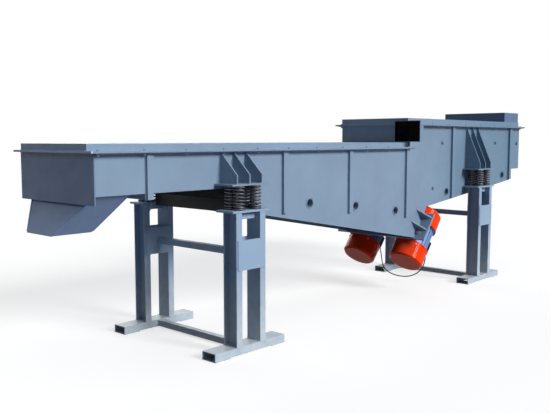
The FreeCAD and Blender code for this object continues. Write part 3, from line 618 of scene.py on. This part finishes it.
# Each point along X and Z from the start, in millimetres, and across as a share of MOTOR_Y
LEAD = [(0, 0, 1.0), (33.42, -27.06, 1.0), (45.5, -69.5, 0.985), (51, -131, 0.957), (54, -200, 0.93),
        (54, -264, 0.87), (54, -312, 0.72), (54, -342, 0.48), (54, -354, 0.2), (54, -352, -0.1),
        (54, -335, -0.36), (54, -300, -0.6), (54, -250, -0.79), (53, -190, -0.91), (51, -128, -0.965),
        (45.5, -69.5, -0.988), (33.42, -27.06, -1.0), (0, 0, -1.0)]


def make_lead():
    """The rubber lead that hangs from one terminal box to the other."""
    curve = bpy.data.curves.new("motor_lead_line", "CURVE")
    curve.dimensions = "3D"
    curve.bevel_depth = CORD_DIAMETER / 2
    curve.bevel_resolution = CORD_ROUNDNESS
    curve.resolution_u = CORD_STEPS
    curve.use_fill_caps = True
    spline = curve.splines.new("NURBS")
    spline.points.add(len(LEAD) - 1)
    for point, (dx, dz, share) in zip(spline.points, LEAD):
        place = LEAD_START + Vector((dx / MM_IN_METRE, share * MOTOR_Y, dz / MM_IN_METRE))
        point.co = (*place, 1)
    spline.order_u = CORD_ORDER
    spline.use_endpoint_u = True
    lead = bpy.data.objects.new("lead_between_motors", curve)
    scene.collection.objects.link(lead)
    dress(lead, "cable_rubber")
    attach(lead, "trough")
    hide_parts("motor_lead")


# Springs

SPRING_RADIUS = 0.037
WIRE_RADIUS = 0.008
SPRING_TURNS = 8
SPRING_LOW = 1.080
SPRING_HIGH = 1.262
SPRING_OFF_X = 0.085
SPRING_OFF_Y = 0.047
DEAD_TURN = 0.7
WIRE_SIDES = 12
STEPS_A_TURN = 36
DRAWN_PITCH = 0.03
COIL_ANGLE = 50
GUIDE_SIDES = 24
GUIDE_RADIUS = 0.025
GUIDE_HEIGHT = 0.03
GUIDE_NOSE_IN = 0.006
GUIDE_NOSE_UP = 0.005
GUIDE_RIM = 0.005
GUIDE_DISH = 0.008


def model_spring():
    """One left-hand coil of round wire with closed ends, standing on the origin."""
    clear_selection()
    bpy.ops.mesh.primitive_circle_add(vertices=WIRE_SIDES, radius=WIRE_RADIUS,
                                      location=(SPRING_RADIUS, 0, 0), rotation=(math.pi / 2, 0, 0))
    spring = bpy.context.active_object
    settle(spring)
    add_modifier(spring, "SCREW", axis="Z", steps=STEPS_A_TURN, render_steps=STEPS_A_TURN,
                 angle=-2 * math.pi, screw_offset=DRAWN_PITCH, iterations=SPRING_TURNS,
                 use_merge_vertices=False)
    rise = SPRING_HIGH - SPRING_LOW - 2 * WIRE_RADIUS
    for index, vertex in enumerate(spring.data.vertices):
        turn = index // WIRE_SIDES / STEPS_A_TURN
        climb = (turn - DEAD_TURN) / (SPRING_TURNS - 2 * DEAD_TURN)
        vertex.co.z += WIRE_RADIUS + min(max(climb, 0), 1) * rise - DRAWN_PITCH * turn
    edit_mode()
    pick("edges", lambda edge: edge.is_boundary)
    bpy.ops.mesh.edge_face_add()
    face_outward()
    object_mode()
    return spring


def model_guide():
    """A turned boss that centres a spring, with a chamfered nose and a dished end."""
    clear_selection()
    add_cylinder(GUIDE_SIDES, GUIDE_RADIUS, GUIDE_HEIGHT)
    guide = bpy.context.active_object
    settle(guide)
    edit_mode()
    pick("faces", looks_up)
    bpy.ops.mesh.inset(thickness=GUIDE_NOSE_IN, depth=GUIDE_NOSE_UP)
    bpy.ops.mesh.inset(thickness=GUIDE_RIM, depth=0)
    extrude(-GUIDE_DISH)
    object_mode()
    return guide


def make_springs():
    """Four springs on each leg, on bosses top and bottom."""
    spring = model_spring()
    guide = model_guide()
    lower = []
    upper = []
    for stand in STAND_X:
        for side in SIDES:
            node = f"springs_{stand}_{side}"
            centre = middle(*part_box(node))
            spots = [(centre.x + along * SPRING_OFF_X, centre.y + across * SPRING_OFF_Y)
                     for along in BOTH for across in BOTH]
            feet = [Vector((*spot, SPRING_LOW)) for spot in spots]
            heads = [Vector((*spot, SPRING_HIGH)) for spot in spots]
            coils = copies(spring, [Matrix.Translation(foot) for foot in feet])
            piece = joined(f"coil_springs_{stand}_{side}", coils)
            smooth(piece, COIL_ANGLE)
            dress(piece, "spring_steel")
            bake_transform(piece)
            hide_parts(node)
            lower += copies(guide, [facing(UP, foot) for foot in feet])
            upper += copies(guide, [facing(DOWN, head) for head in heads])
    mount(joined("spring_guides_lower", lower), "stand", "stand_paint")
    mount(joined("spring_guides_upper", upper), "trough", "trough_paint")
    drop(spring, guide)


# Front cross beam and leg head bars

BEAM_X = STAND_X["front"]
BEAM_HALF = 0.063
BEAM_LOW = 1.054
BEAM_HIGH = 1.160
BEAM_REACH = 0.441
BEAM_SHEET = 0.006
FOLD_RADIUS = 0.008
ROUND_STEPS = 4


def make_cross_beam():
    """The black folded channel, open downwards, between the front spring plates; its black is partly its
    own paint and partly painted shade under the trough.
    """
    clear_selection()
    bpy.ops.mesh.primitive_plane_add(size=1, location=(BEAM_X, 0, BEAM_HIGH))
    beam = bpy.context.active_object
    beam.scale = (2 * BEAM_HALF, 2 * BEAM_REACH, 1)
    settle(beam)
    edit_mode()
    pick("edges", lambda edge: abs(edge_middle(edge).x - BEAM_X) > BEAM_HALF / 2)
    extrude(BEAM_LOW - BEAM_HIGH)
    pick("edges", lambda edge: not edge.is_boundary)
    bpy.ops.mesh.bevel(offset=FOLD_RADIUS, segments=ROUND_STEPS)
    face_outward()
    object_mode()
    add_modifier(beam, "SOLIDIFY", thickness=BEAM_SHEET, offset=-1, use_even_offset=True)
    break_edges(beam)
    mount(joined("front_cross_beam", [beam]), "stand", "stand_paint", finish=BEAM_ENAMEL)
    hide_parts("cross_beam_front")


HEAD_BAR_HALF = 0.095
HEAD_BAR_Y = 0.560
HEAD_BAR_THICK = 0.010
HEAD_BAR_LOW = 1.008
HEAD_BAR_HIGH = 1.064
HEAD_BAR_CORNER = 0.004


def make_head_bars():
    """A flat bar between the posts of each leg, under the spring plate, with round lower corners."""
    clear_selection()
    level = (HEAD_BAR_LOW + HEAD_BAR_HIGH) / 2
    bpy.ops.mesh.primitive_cube_add(size=1, location=(0, 0, level))
    bar = bpy.context.active_object
    bar.scale = (2 * HEAD_BAR_HALF, HEAD_BAR_THICK, HEAD_BAR_HIGH - HEAD_BAR_LOW)
    settle(bar)
    edit_mode()
    pick("edges", lambda edge: edge_middle(edge).z < level and edge_reach(edge, "y") > HEAD_BAR_THICK / 2)
    bpy.ops.mesh.bevel(offset=HEAD_BAR_CORNER, segments=ROUND_STEPS)
    object_mode()
    break_edges(bar)
    places = [Matrix.Translation((x, side * HEAD_BAR_Y, 0)) for x in STAND_X.values() for side in BOTH]
    mount(joined("leg_head_bars", copies(bar, places)), "stand", "stand_paint")
    drop(bar)


# Fasteners

WASHER_SIDES = 16

# Shares of the hexagon's corner radius, of the head's height and of the washer
CHAMFER_IN = 0.14
CHAMFER_UP = 0.1
THREAD_IN = 0.36
TIP_IN = 0.08
TIP_UP = 0.08
WASHER_RIM = 0.9
WASHER_BEVEL = 0.3

# Width across flats, head height, washer radius and thickness, and a nut's stud
LID_BOLT = (0.016, 0.007, 0.0115, 0.002)
LID_NUT = (0.016, 0.008, 0.0115, 0.002, 0.005)
WALL_BOLT = (0.030, 0.013, 0.023, 0.003)
TRIM_SCREW = (0.013, 0.006, 0.010, 0.0015)
SEAT_BOLT = (0.036, 0.015, 0.026, 0.004)
SEAT_NUT = (0.036, 0.019, 0.026, 0.004, 0.008)


def model_bolt(flat, head, washer, thickness, stud=0.0):
    """A hexagon on a washer, along +Z from the origin; with a stud it is a nut on its thread."""
    clear_selection()
    corner = flat / math.sqrt(3)
    add_cylinder(HEX, corner, head, foot=thickness)
    bolt = bpy.context.active_object
    settle(bolt)
    edit_mode()
    pick("faces", looks_up)
    bpy.ops.mesh.inset(thickness=corner * CHAMFER_IN, depth=head * CHAMFER_UP)
    if stud:
        bpy.ops.mesh.inset(thickness=corner * THREAD_IN, depth=0)
        extrude(stud)
        bpy.ops.mesh.inset(thickness=corner * TIP_IN, depth=head * TIP_UP)
    add_cylinder(WASHER_SIDES, washer, thickness)
    pick("edges", lambda edge: abs(edge_middle(edge).z - thickness) < TOUCHING
         and edge_middle(edge).xy.length > washer * WASHER_RIM)
    bpy.ops.mesh.bevel(offset=thickness * WASHER_BEVEL, segments=1)
    object_mode()
    return bolt


LOW_WALL_TOP = 1.506
HOOD_WALL_TOP = 1.739
WALL_OUT = 0.428

# Each rib's place along X, its bottom and its top
RIBS = ((-2.640, 1.193, LOW_WALL_TOP), (-1.275, 1.000, LOW_WALL_TOP), (-0.384, 0.938, LOW_WALL_TOP),
        (0.565, 0.822, LOW_WALL_TOP), (1.485, 0.960, HOOD_WALL_TOP), (2.920, 1.110, HOOD_WALL_TOP))
RIB_HALF = 0.025
RIB_CLEAR = 0.045

# Each lid, and how far its tray stands above its flange
LIDS = (("low_cover", 0.046), ("hood_cover", 0.058))
LID_ENDS = 0.07
FLANGES = 0.020
BOLT_LINE = 0.462
BOLT_PITCH = 0.37


def make_lid_bolts():
    """Bolts along both sides of each lid, with nuts under the wall's flange."""
    head = model_bolt(*LID_BOLT)
    nut = model_bolt(*LID_NUT)
    for lid, rim in LIDS:
        low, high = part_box(lid)
        top = high.z - rim
        first = low.x + LID_ENDS
        last = high.x - LID_ENDS
        count = round((last - first) / BOLT_PITCH)
        heads = []
        nuts = []
        for index in range(count + 1):
            x = first + (last - first) * index / count
            for side in BOTH:
                heads.append(facing(UP, (x, side * BOLT_LINE, top)))
                if min(abs(x - rib) for rib, _, _ in RIBS) > RIB_CLEAR:
                    nuts.append(facing(DOWN, (x, side * BOLT_LINE, top - FLANGES)))
        mount(joined(f"{lid}_bolts", copies(head, heads)), "trough", "trough_paint")
        mount(joined(f"{lid}_nuts", copies(nut, nuts)), "trough", "trough_paint")
    drop(head, nut)


# Places along X and Z
WALL_BOLTS = ((1.271, 1.567), (2.530, 1.560), (3.128, 1.552), (1.089, 1.088))


def make_wall_bolts():
    """The few large bolt heads on the hood's walls."""
    head = model_bolt(*WALL_BOLT)
    places = [facing((0, side, 0), (x, side * WALL_OUT, z)) for x, z in WALL_BOLTS for side in BOTH]
    mount(joined("wall_bolts", copies(head, places)), "trough", "trough_paint")
    drop(head)


PLATE_THICK = 0.020
SEAT_BOLT_ACROSS = 0.460
SEAT_BOLT_ALONG = -0.062


def make_seat_bolts():
    """The bolt through each outer end of the motor plate, with its nut on the motors' side."""
    head = model_bolt(*SEAT_BOLT)
    nut = model_bolt(*SEAT_NUT)
    seat = seat_frame(PLATE_FACE)
    ends = [(side * SEAT_BOLT_ACROSS, SEAT_BOLT_ALONG) for side in BOTH]
    backs = [seat @ facing(INTO_SEAT, (-PLATE_THICK, *end)) for end in ends]
    fronts = [seat @ facing(OFF_SEAT, (0, *end)) for end in ends]
    mount(joined("seat_bolts", copies(head, backs) + copies(nut, fronts)), "trough", "bare_steel")
    drop(head, nut)


# Motor trim

CAP_RADIUS = 0.178
CAP_SCREW_AT = 0.15
BOX_OUT = 0.205
BOX_LID_HALF = (0.070, 0.080)
BOX_LID_THICK = 0.006
BOX_LID_CORNER = 0.014
BOX_LID_CORNER_STEPS = 5
BOX_LID_EDGE = 0.0015
BOX_LID_SCREW = (0.058, 0.068)
GLAND_LENGTH = 0.026
GLAND_STEP = 0.010
GLAND_HEX = 0.0165
GLAND_HEX_IN = 0.0015
GLAND_HEX_UP = 0.001
GLAND_NUT = 0.0135
GLAND_NUT_FOOT = 0.0105
GLAND_SIDES = 24
GLAND_RIB_IN = 0.0004
GLAND_RIB_OUT = 0.0008
GLAND_DOME_IN = 0.002
GLAND_DOME_UP = 0.003
GLAND_NOSE_IN = 0.003


def model_box_lid():
    """The terminal box's lid: a plate with round corners and a soft edge, facing +Z."""
    clear_selection()
    bpy.ops.mesh.primitive_cube_add(size=1, location=(0, 0, BOX_LID_THICK / 2))
    lid = bpy.context.active_object
    lid.scale = (2 * BOX_LID_HALF[1], 2 * BOX_LID_HALF[0], BOX_LID_THICK)
    settle(lid)
    edit_mode()
    pick("edges", lambda edge: edge_reach(edge, "z") > BOX_LID_THICK / 2)
    bpy.ops.mesh.bevel(offset=BOX_LID_CORNER, segments=BOX_LID_CORNER_STEPS)
    pick("edges", lambda edge: min(vertex.co.z for vertex in edge.verts) > BOX_LID_THICK - TOUCHING)
    bpy.ops.mesh.bevel(offset=BOX_LID_EDGE, segments=EDGE_STEPS)
    object_mode()
    return lid


def is_gland_rib(face):
    """Whether a face is one of every other side of the gland's dome nut."""
    turn = round(math.atan2(face.normal.y, face.normal.x) / (2 * math.pi / GLAND_SIDES))
    on_nut = abs(face.normal.z) < UPRIGHT and face.calc_center_median().z > GLAND_NUT_FOOT
    return on_nut and turn % 2 == 0


def model_gland():
    """A cable gland along +Z: a hexagon body and a ribbed dome nut that tapers to the lead."""
    clear_selection()
    add_cylinder(HEX, GLAND_HEX, GLAND_STEP)
    gland = bpy.context.active_object
    settle(gland)
    edit_mode()
    pick("faces", looks_up)
    bpy.ops.mesh.inset(thickness=GLAND_HEX_IN, depth=GLAND_HEX_UP)
    add_cylinder(GLAND_SIDES, GLAND_NUT, GLAND_STEP, foot=GLAND_NUT_FOOT)
    pick("faces", is_gland_rib)
    bpy.ops.mesh.inset(thickness=GLAND_RIB_IN, depth=GLAND_RIB_OUT, use_individual=True)
    nut_top = GLAND_NUT_FOOT + GLAND_STEP
    pick("faces", lambda face: looks_up(face) and face.calc_center_median().z > nut_top - TOUCHING)
    bpy.ops.mesh.inset(thickness=GLAND_DOME_IN, depth=GLAND_DOME_UP)
    bpy.ops.mesh.inset(thickness=GLAND_NOSE_IN, depth=GLAND_LENGTH - nut_top - GLAND_DOME_UP)
    object_mode()
    return gland


def make_motor_trim():
    """Cap screws, terminal box lids with their screws, and the cable glands."""
    screw = model_bolt(*TRIM_SCREW)
    lid = model_box_lid()
    gland = model_gland()
    screws = []
    lid_screws = []
    boxes = []
    for side in SIDES:
        seat = seat_frame(middle(*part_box(f"motor_{side}_rotor")))
        for end in BOTH:
            for quarter in range(4):
                angle = math.pi / 4 + quarter * math.pi / 2
                out = Vector((math.cos(angle), math.sin(angle), 0))
                screws.append(seat @ facing(out, out * CAP_RADIUS + Vector((0, 0, end * CAP_SCREW_AT))))
        boxes.append(seat @ facing(OFF_SEAT, (BOX_OUT, 0, 0)))
        for across in BOTH:
            for along in BOTH:
                place = (BOX_OUT + BOX_LID_THICK, across * BOX_LID_SCREW[0], along * BOX_LID_SCREW[1])
                lid_screws.append(seat @ facing(OFF_SEAT, place))
    mount(joined("cap_screws", copies(screw, screws)), "trough", "bare_steel")
    mount(joined("terminal_box_screws", copies(screw, lid_screws)), "trough", "bare_steel")
    mount(joined("terminal_box_lids", copies(lid, boxes)), "trough", "motor_paint")
    piece = mount(joined("cable_gland_nuts", copies(gland, boxes)), "trough", "gland_plastic")
    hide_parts("cable_glands")
    drop(screw, lid, gland)


# Weld beads

BEAD_SIDES = 6
BEAD_ANGLE = 60
RING_STEPS = 48
RIPPLE = 0.016
RIPPLE_DEPTH = 0.16
THIN_BEAD = 0.004
WALL_BEAD = 0.005
THICK_BEAD = 0.006


def bead(start, end, radius):
    """A rippled bead of weld from one point to another."""
    start = Vector(start)
    run = Vector(end) - start
    clear_selection()
    add_cylinder(BEAD_SIDES, radius, run.length)
    piece = bpy.context.active_object
    settle(piece)
    cuts = max(2 * round(run.length / RIPPLE) - 1, 1)
    edit_mode()
    pick("edges", lambda edge: edge_reach(edge, "z") > run.length / 2)
    bpy.ops.mesh.subdivide(number_cuts=cuts)
    object_mode()
    for vertex in piece.data.vertices:
        step = round(vertex.co.z / run.length * (cuts + 1))
        swell = 1 + (RIPPLE_DEPTH if step % 2 else -RIPPLE_DEPTH)
        vertex.co.x *= swell
        vertex.co.y *= swell
    piece.data.transform(facing(run, start))
    return piece


def ring_bead(centre, major, minor):
    """A bead round a tube end, in a plane that faces along Y."""
    clear_selection()
    bpy.ops.mesh.primitive_torus_add(major_radius=major, minor_radius=minor,
                                     major_segments=RING_STEPS, minor_segments=BEAD_SIDES,
                                     location=centre, rotation=(math.pi / 2, 0, 0))
    piece = bpy.context.active_object
    settle(piece)
    for index, vertex in enumerate(piece.data.vertices):
        if index // BEAD_SIDES % 2:
            outward = vertex.co - Vector(centre)
            vertex.co += outward.normalized() * minor * RIPPLE_DEPTH
    return piece


def seam(corners, radius):
    """Beads along a line from corner to corner."""
    return [bead(one, other, radius) for one, other in zip(corners, corners[1:])]


def round_seam(corners, radius):
    """Beads from corner to corner and back to the first."""
    return seam(corners + corners[:1], radius)


def rectangle(front, back, near, far, level):
    """The corners of a level rectangle, in order round it."""
    return [(front, near, level), (back, near, level), (back, far, level), (front, far, level)]


# Places of the cross tubes along X and Z
TUBES = ((-0.944, 1.058), (-0.287, 0.990), (0.379, 0.898), (1.382, 1.033), (2.742, 1.168))
TUBE_RADIUS = 0.046
BRACKET_TOP = {"front": LOW_WALL_TOP, "rear": HOOD_WALL_TOP}
BRACKET_GUSSETS = (-0.130, 0, 0.130)
GUSSET_HALF = 0.005
SEAT_TOP = 1.274
SEAT_NOSE = 0.608


def make_wall_welds():
    """Beads along the ribs, the spring brackets' gussets and the tube ends."""
    beads = []
    for side in BOTH:
        wall = side * WALL_OUT
        for x, bottom, top in RIBS:
            for edge in BOTH:
                at = x + edge * RIB_HALF
                beads.append(bead((at, wall, bottom), (at, wall, top), WALL_BEAD))
        for stand, top in BRACKET_TOP.items():
            for gusset in BRACKET_GUSSETS:
                for face in BOTH:
                    at = STAND_X[stand] + gusset + face * GUSSET_HALF
                    nose = (at, side * SEAT_NOSE, SEAT_TOP)
                    beads += seam([(at, wall, top), (at, wall, SEAT_TOP), nose], WALL_BEAD)
        for x, z in TUBES:
            beads.append(ring_bead((x, wall, z), TUBE_RADIUS, WALL_BEAD))
    mount(joined("wall_welds", beads), "trough", "trough_paint", BEAD_ANGLE)


CHUTE_TOP_FRONT = -3.030
CHUTE_MOUTH_BACK = -2.915
CHUTE_MOUTH_HALF = 0.154
CHUTE_SEAM_SHARE = 0.96


def make_spout_welds():
    """Beads round the foot of the inlet collar, round the top of the chute and down its corners."""
    low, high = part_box("inlet_collar")
    beads = round_seam(rectangle(low.x, high.x, low.y, high.y, low.z), THICK_BEAD)
    low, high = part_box("discharge_chute")
    rim = []
    for x, mouth_x, sides in ((CHUTE_TOP_FRONT, low.x, BOTH), (high.x, CHUTE_MOUTH_BACK, BOTH[::-1])):
        for side in sides:
            top = Vector((x, side * high.y, high.z))
            mouth = Vector((mouth_x, side * CHUTE_MOUTH_HALF, low.z))
            rim.append(top)
            beads.append(bead(top, top.lerp(mouth, CHUTE_SEAM_SHARE), THIN_BEAD))
    beads += round_seam(rim, WALL_BEAD)
    mount(joined("spout_welds", beads), "trough", "trough_paint", BEAD_ANGLE, SHADED_ENAMEL)


TRAY_HALF = 0.415
TRAY_INSET = 0.016


def make_lid_welds():
    """Beads round the foot of each lid's raised tray."""
    beads = []
    for lid, rim in LIDS:
        low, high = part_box(lid)
        foot = rectangle(low.x + TRAY_INSET, high.x - TRAY_INSET, -TRAY_HALF, TRAY_HALF, high.z - rim)
        beads += round_seam(foot, THICK_BEAD)
    mount(joined("lid_welds", beads), "trough", "trough_paint", BEAD_ANGLE)


PLATE_SEAM = (-0.128, 0.178)
SEAT_GUSSETS = (0.130, -0.020)
SEAT_GUSSET_REACH = 0.150
SEAT_GUSSET_TIP = 0.542


def make_seat_welds():
    """Beads where the motor plate and its gussets meet the walls and each other."""
    seat = seat_frame(PLATE_FACE)
    back = -PLATE_THICK
    beads = []
    for side in BOTH:
        wall = side * WALL_OUT
        start, end = (seat @ Vector((back, wall, along)) for along in PLATE_SEAM)
        beads.append(bead(start, end, THICK_BEAD))
        for level in SEAT_GUSSETS:
            for face in BOTH:
                along = level + face * GUSSET_HALF
                corners = ((back - SEAT_GUSSET_REACH, wall, along), (back, wall, along),
                           (back, side * SEAT_GUSSET_TIP, along))
                beads += seam([seat @ Vector(corner) for corner in corners], WALL_BEAD)
    mount(joined("seat_welds", beads), "trough", "trough_paint", BEAD_ANGLE)


BASE_TOP = 0.064
POST_INNER = 0.095
POST_OUTER = 0.153
BATTEN_EDGE = 0.141
BATTEN_LOW = 0.637
BATTEN_HIGH = 0.862


def make_stand_welds():
    """Beads where the posts meet the bases and round the ends of the batten plates."""
    beads = []
    for stand, x in STAND_X.items():
        for side in SIDES:
            low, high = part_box(f"leg_{stand}_{side}")
            for post in BOTH:
                inner = x + post * POST_INNER
                outer = x + post * POST_OUTER
                edge = x + post * BATTEN_EDGE
                foot = [(outer, low.y), (inner, low.y), (inner, high.y), (outer, high.y)]
                beads += seam([(*corner, BASE_TOP) for corner in foot], THICK_BEAD)
                for y in (low.y, high.y):
                    beads += seam([(inner, y, BATTEN_LOW), (edge, y, BATTEN_LOW), (edge, y, BATTEN_HIGH),
                                   (inner, y, BATTEN_HIGH)], WALL_BEAD)
    mount(joined("stand_welds", beads), "stand", "stand_paint", BEAD_ANGLE)


# Stage

FLOOR_SIZE = 160
FLOOR_PALE = (0.5, 0.5, 0.5, 1)
FLOOR_GLOW = 0.62
FLOOR_BOUNCE = (0.23, 0.24, 0.29, 1)
WHITE = (1, 1, 1, 1)
FILL_COLOUR = (0.6, 0.77, 1, 1)
FILL_STRENGTH = 0.05

# Each light's name, where it comes from, its strength and its spread in degrees
LIGHTS = (("key_light", (0.10, -0.84, 0.42), 3.1, 20), ("back_light", (0.35, 0.85, 0.40), 1.0, 40),
          ("top_light", (0.02, -0.10, 0.97), 0.6, 70))


def seen_rays(tree):
    """1 for the rays that show the surround: seen, mirrored or looked through."""
    path = tree.nodes.new("ShaderNodeLightPath")
    total = path.outputs["Is Camera Ray"]
    for name in ("Is Glossy Ray", "Is Transmission Ray"):
        either = tree.nodes.new("ShaderNodeMath")
        either.operation = "MAXIMUM"
        tree.links.new(total, either.inputs[0])
        tree.links.new(path.outputs[name], either.inputs[1])
        total = either.outputs["Value"]
    return total


def show_by_ray(tree, lighting, seen, output_kind):
    """One shader for the rays that light the scene, and another for those that are seen."""
    mix = tree.nodes.new("ShaderNodeMixShader")
    tree.links.new(seen_rays(tree), mix.inputs[0])
    tree.links.new(lighting.outputs[0], mix.inputs[1])
    tree.links.new(seen.outputs[0], mix.inputs[2])
    output = tree.nodes.new(output_kind)
    tree.links.new(mix.outputs[0], output.inputs["Surface"])


def make_floor():
    """A plain pale floor that keeps the conveyor's shadow."""
    clear_selection()
    bpy.ops.mesh.primitive_plane_add(size=FLOOR_SIZE, location=(0, 0, 0))
    floor = bpy.context.active_object
    floor.name = "floor"
    material = bpy.data.materials.new("pale_floor")
    material.use_nodes = True
    tree = material.node_tree
    tree.nodes.clear()
    pale = tree.nodes.new("ShaderNodeBsdfDiffuse")
    pale.inputs["Color"].default_value = FLOOR_PALE
    glow = tree.nodes.new("ShaderNodeEmission")
    glow.inputs["Color"].default_value = WHITE
    glow.inputs["Strength"].default_value = FLOOR_GLOW
    lit = tree.nodes.new("ShaderNodeAddShader")
    tree.links.new(pale.outputs[0], lit.inputs[0])
    tree.links.new(glow.outputs[0], lit.inputs[1])
    bounce = tree.nodes.new("ShaderNodeBsdfDiffuse")
    bounce.inputs["Color"].default_value = FLOOR_BOUNCE
    show_by_ray(tree, bounce, lit, "ShaderNodeOutputMaterial")
    floor.data.materials.append(material)


def make_lights():
    """A soft light from the near side, one from behind and one from above."""
    for name, source, strength, spread in LIGHTS:
        lamp = bpy.data.lights.new(name, "SUN")
        lamp.energy = strength
        lamp.angle = math.radians(spread)
        light = bpy.data.objects.new(name, lamp)
        light.rotation_euler = Vector(source).to_track_quat("Z", "Y").to_euler()
        scene.collection.objects.link(light)


def make_surround():
    """A white surround that lights the conveyor with only a faint fill."""
    world = bpy.data.worlds.new("surround")
    world.use_nodes = True
    scene.world = world
    tree = world.node_tree
    tree.nodes.clear()
    fill = tree.nodes.new("ShaderNodeBackground")
    fill.inputs["Color"].default_value = FILL_COLOUR
    fill.inputs["Strength"].default_value = FILL_STRENGTH
    white = tree.nodes.new("ShaderNodeBackground")
    white.inputs["Color"].default_value = WHITE
    show_by_ray(tree, fill, white, "ShaderNodeOutputWorld")


set_camera()
make_lead()
dress_frame()
make_springs()
make_cross_beam()
make_head_bars()
make_lid_bolts()
make_wall_bolts()
make_motor_trim()
make_seat_bolts()
make_wall_welds()
make_spout_welds()
make_lid_welds()
make_seat_welds()
make_stand_welds()
make_floor()
make_lights()
make_surround()
scene.view_settings.view_transform = "Standard"
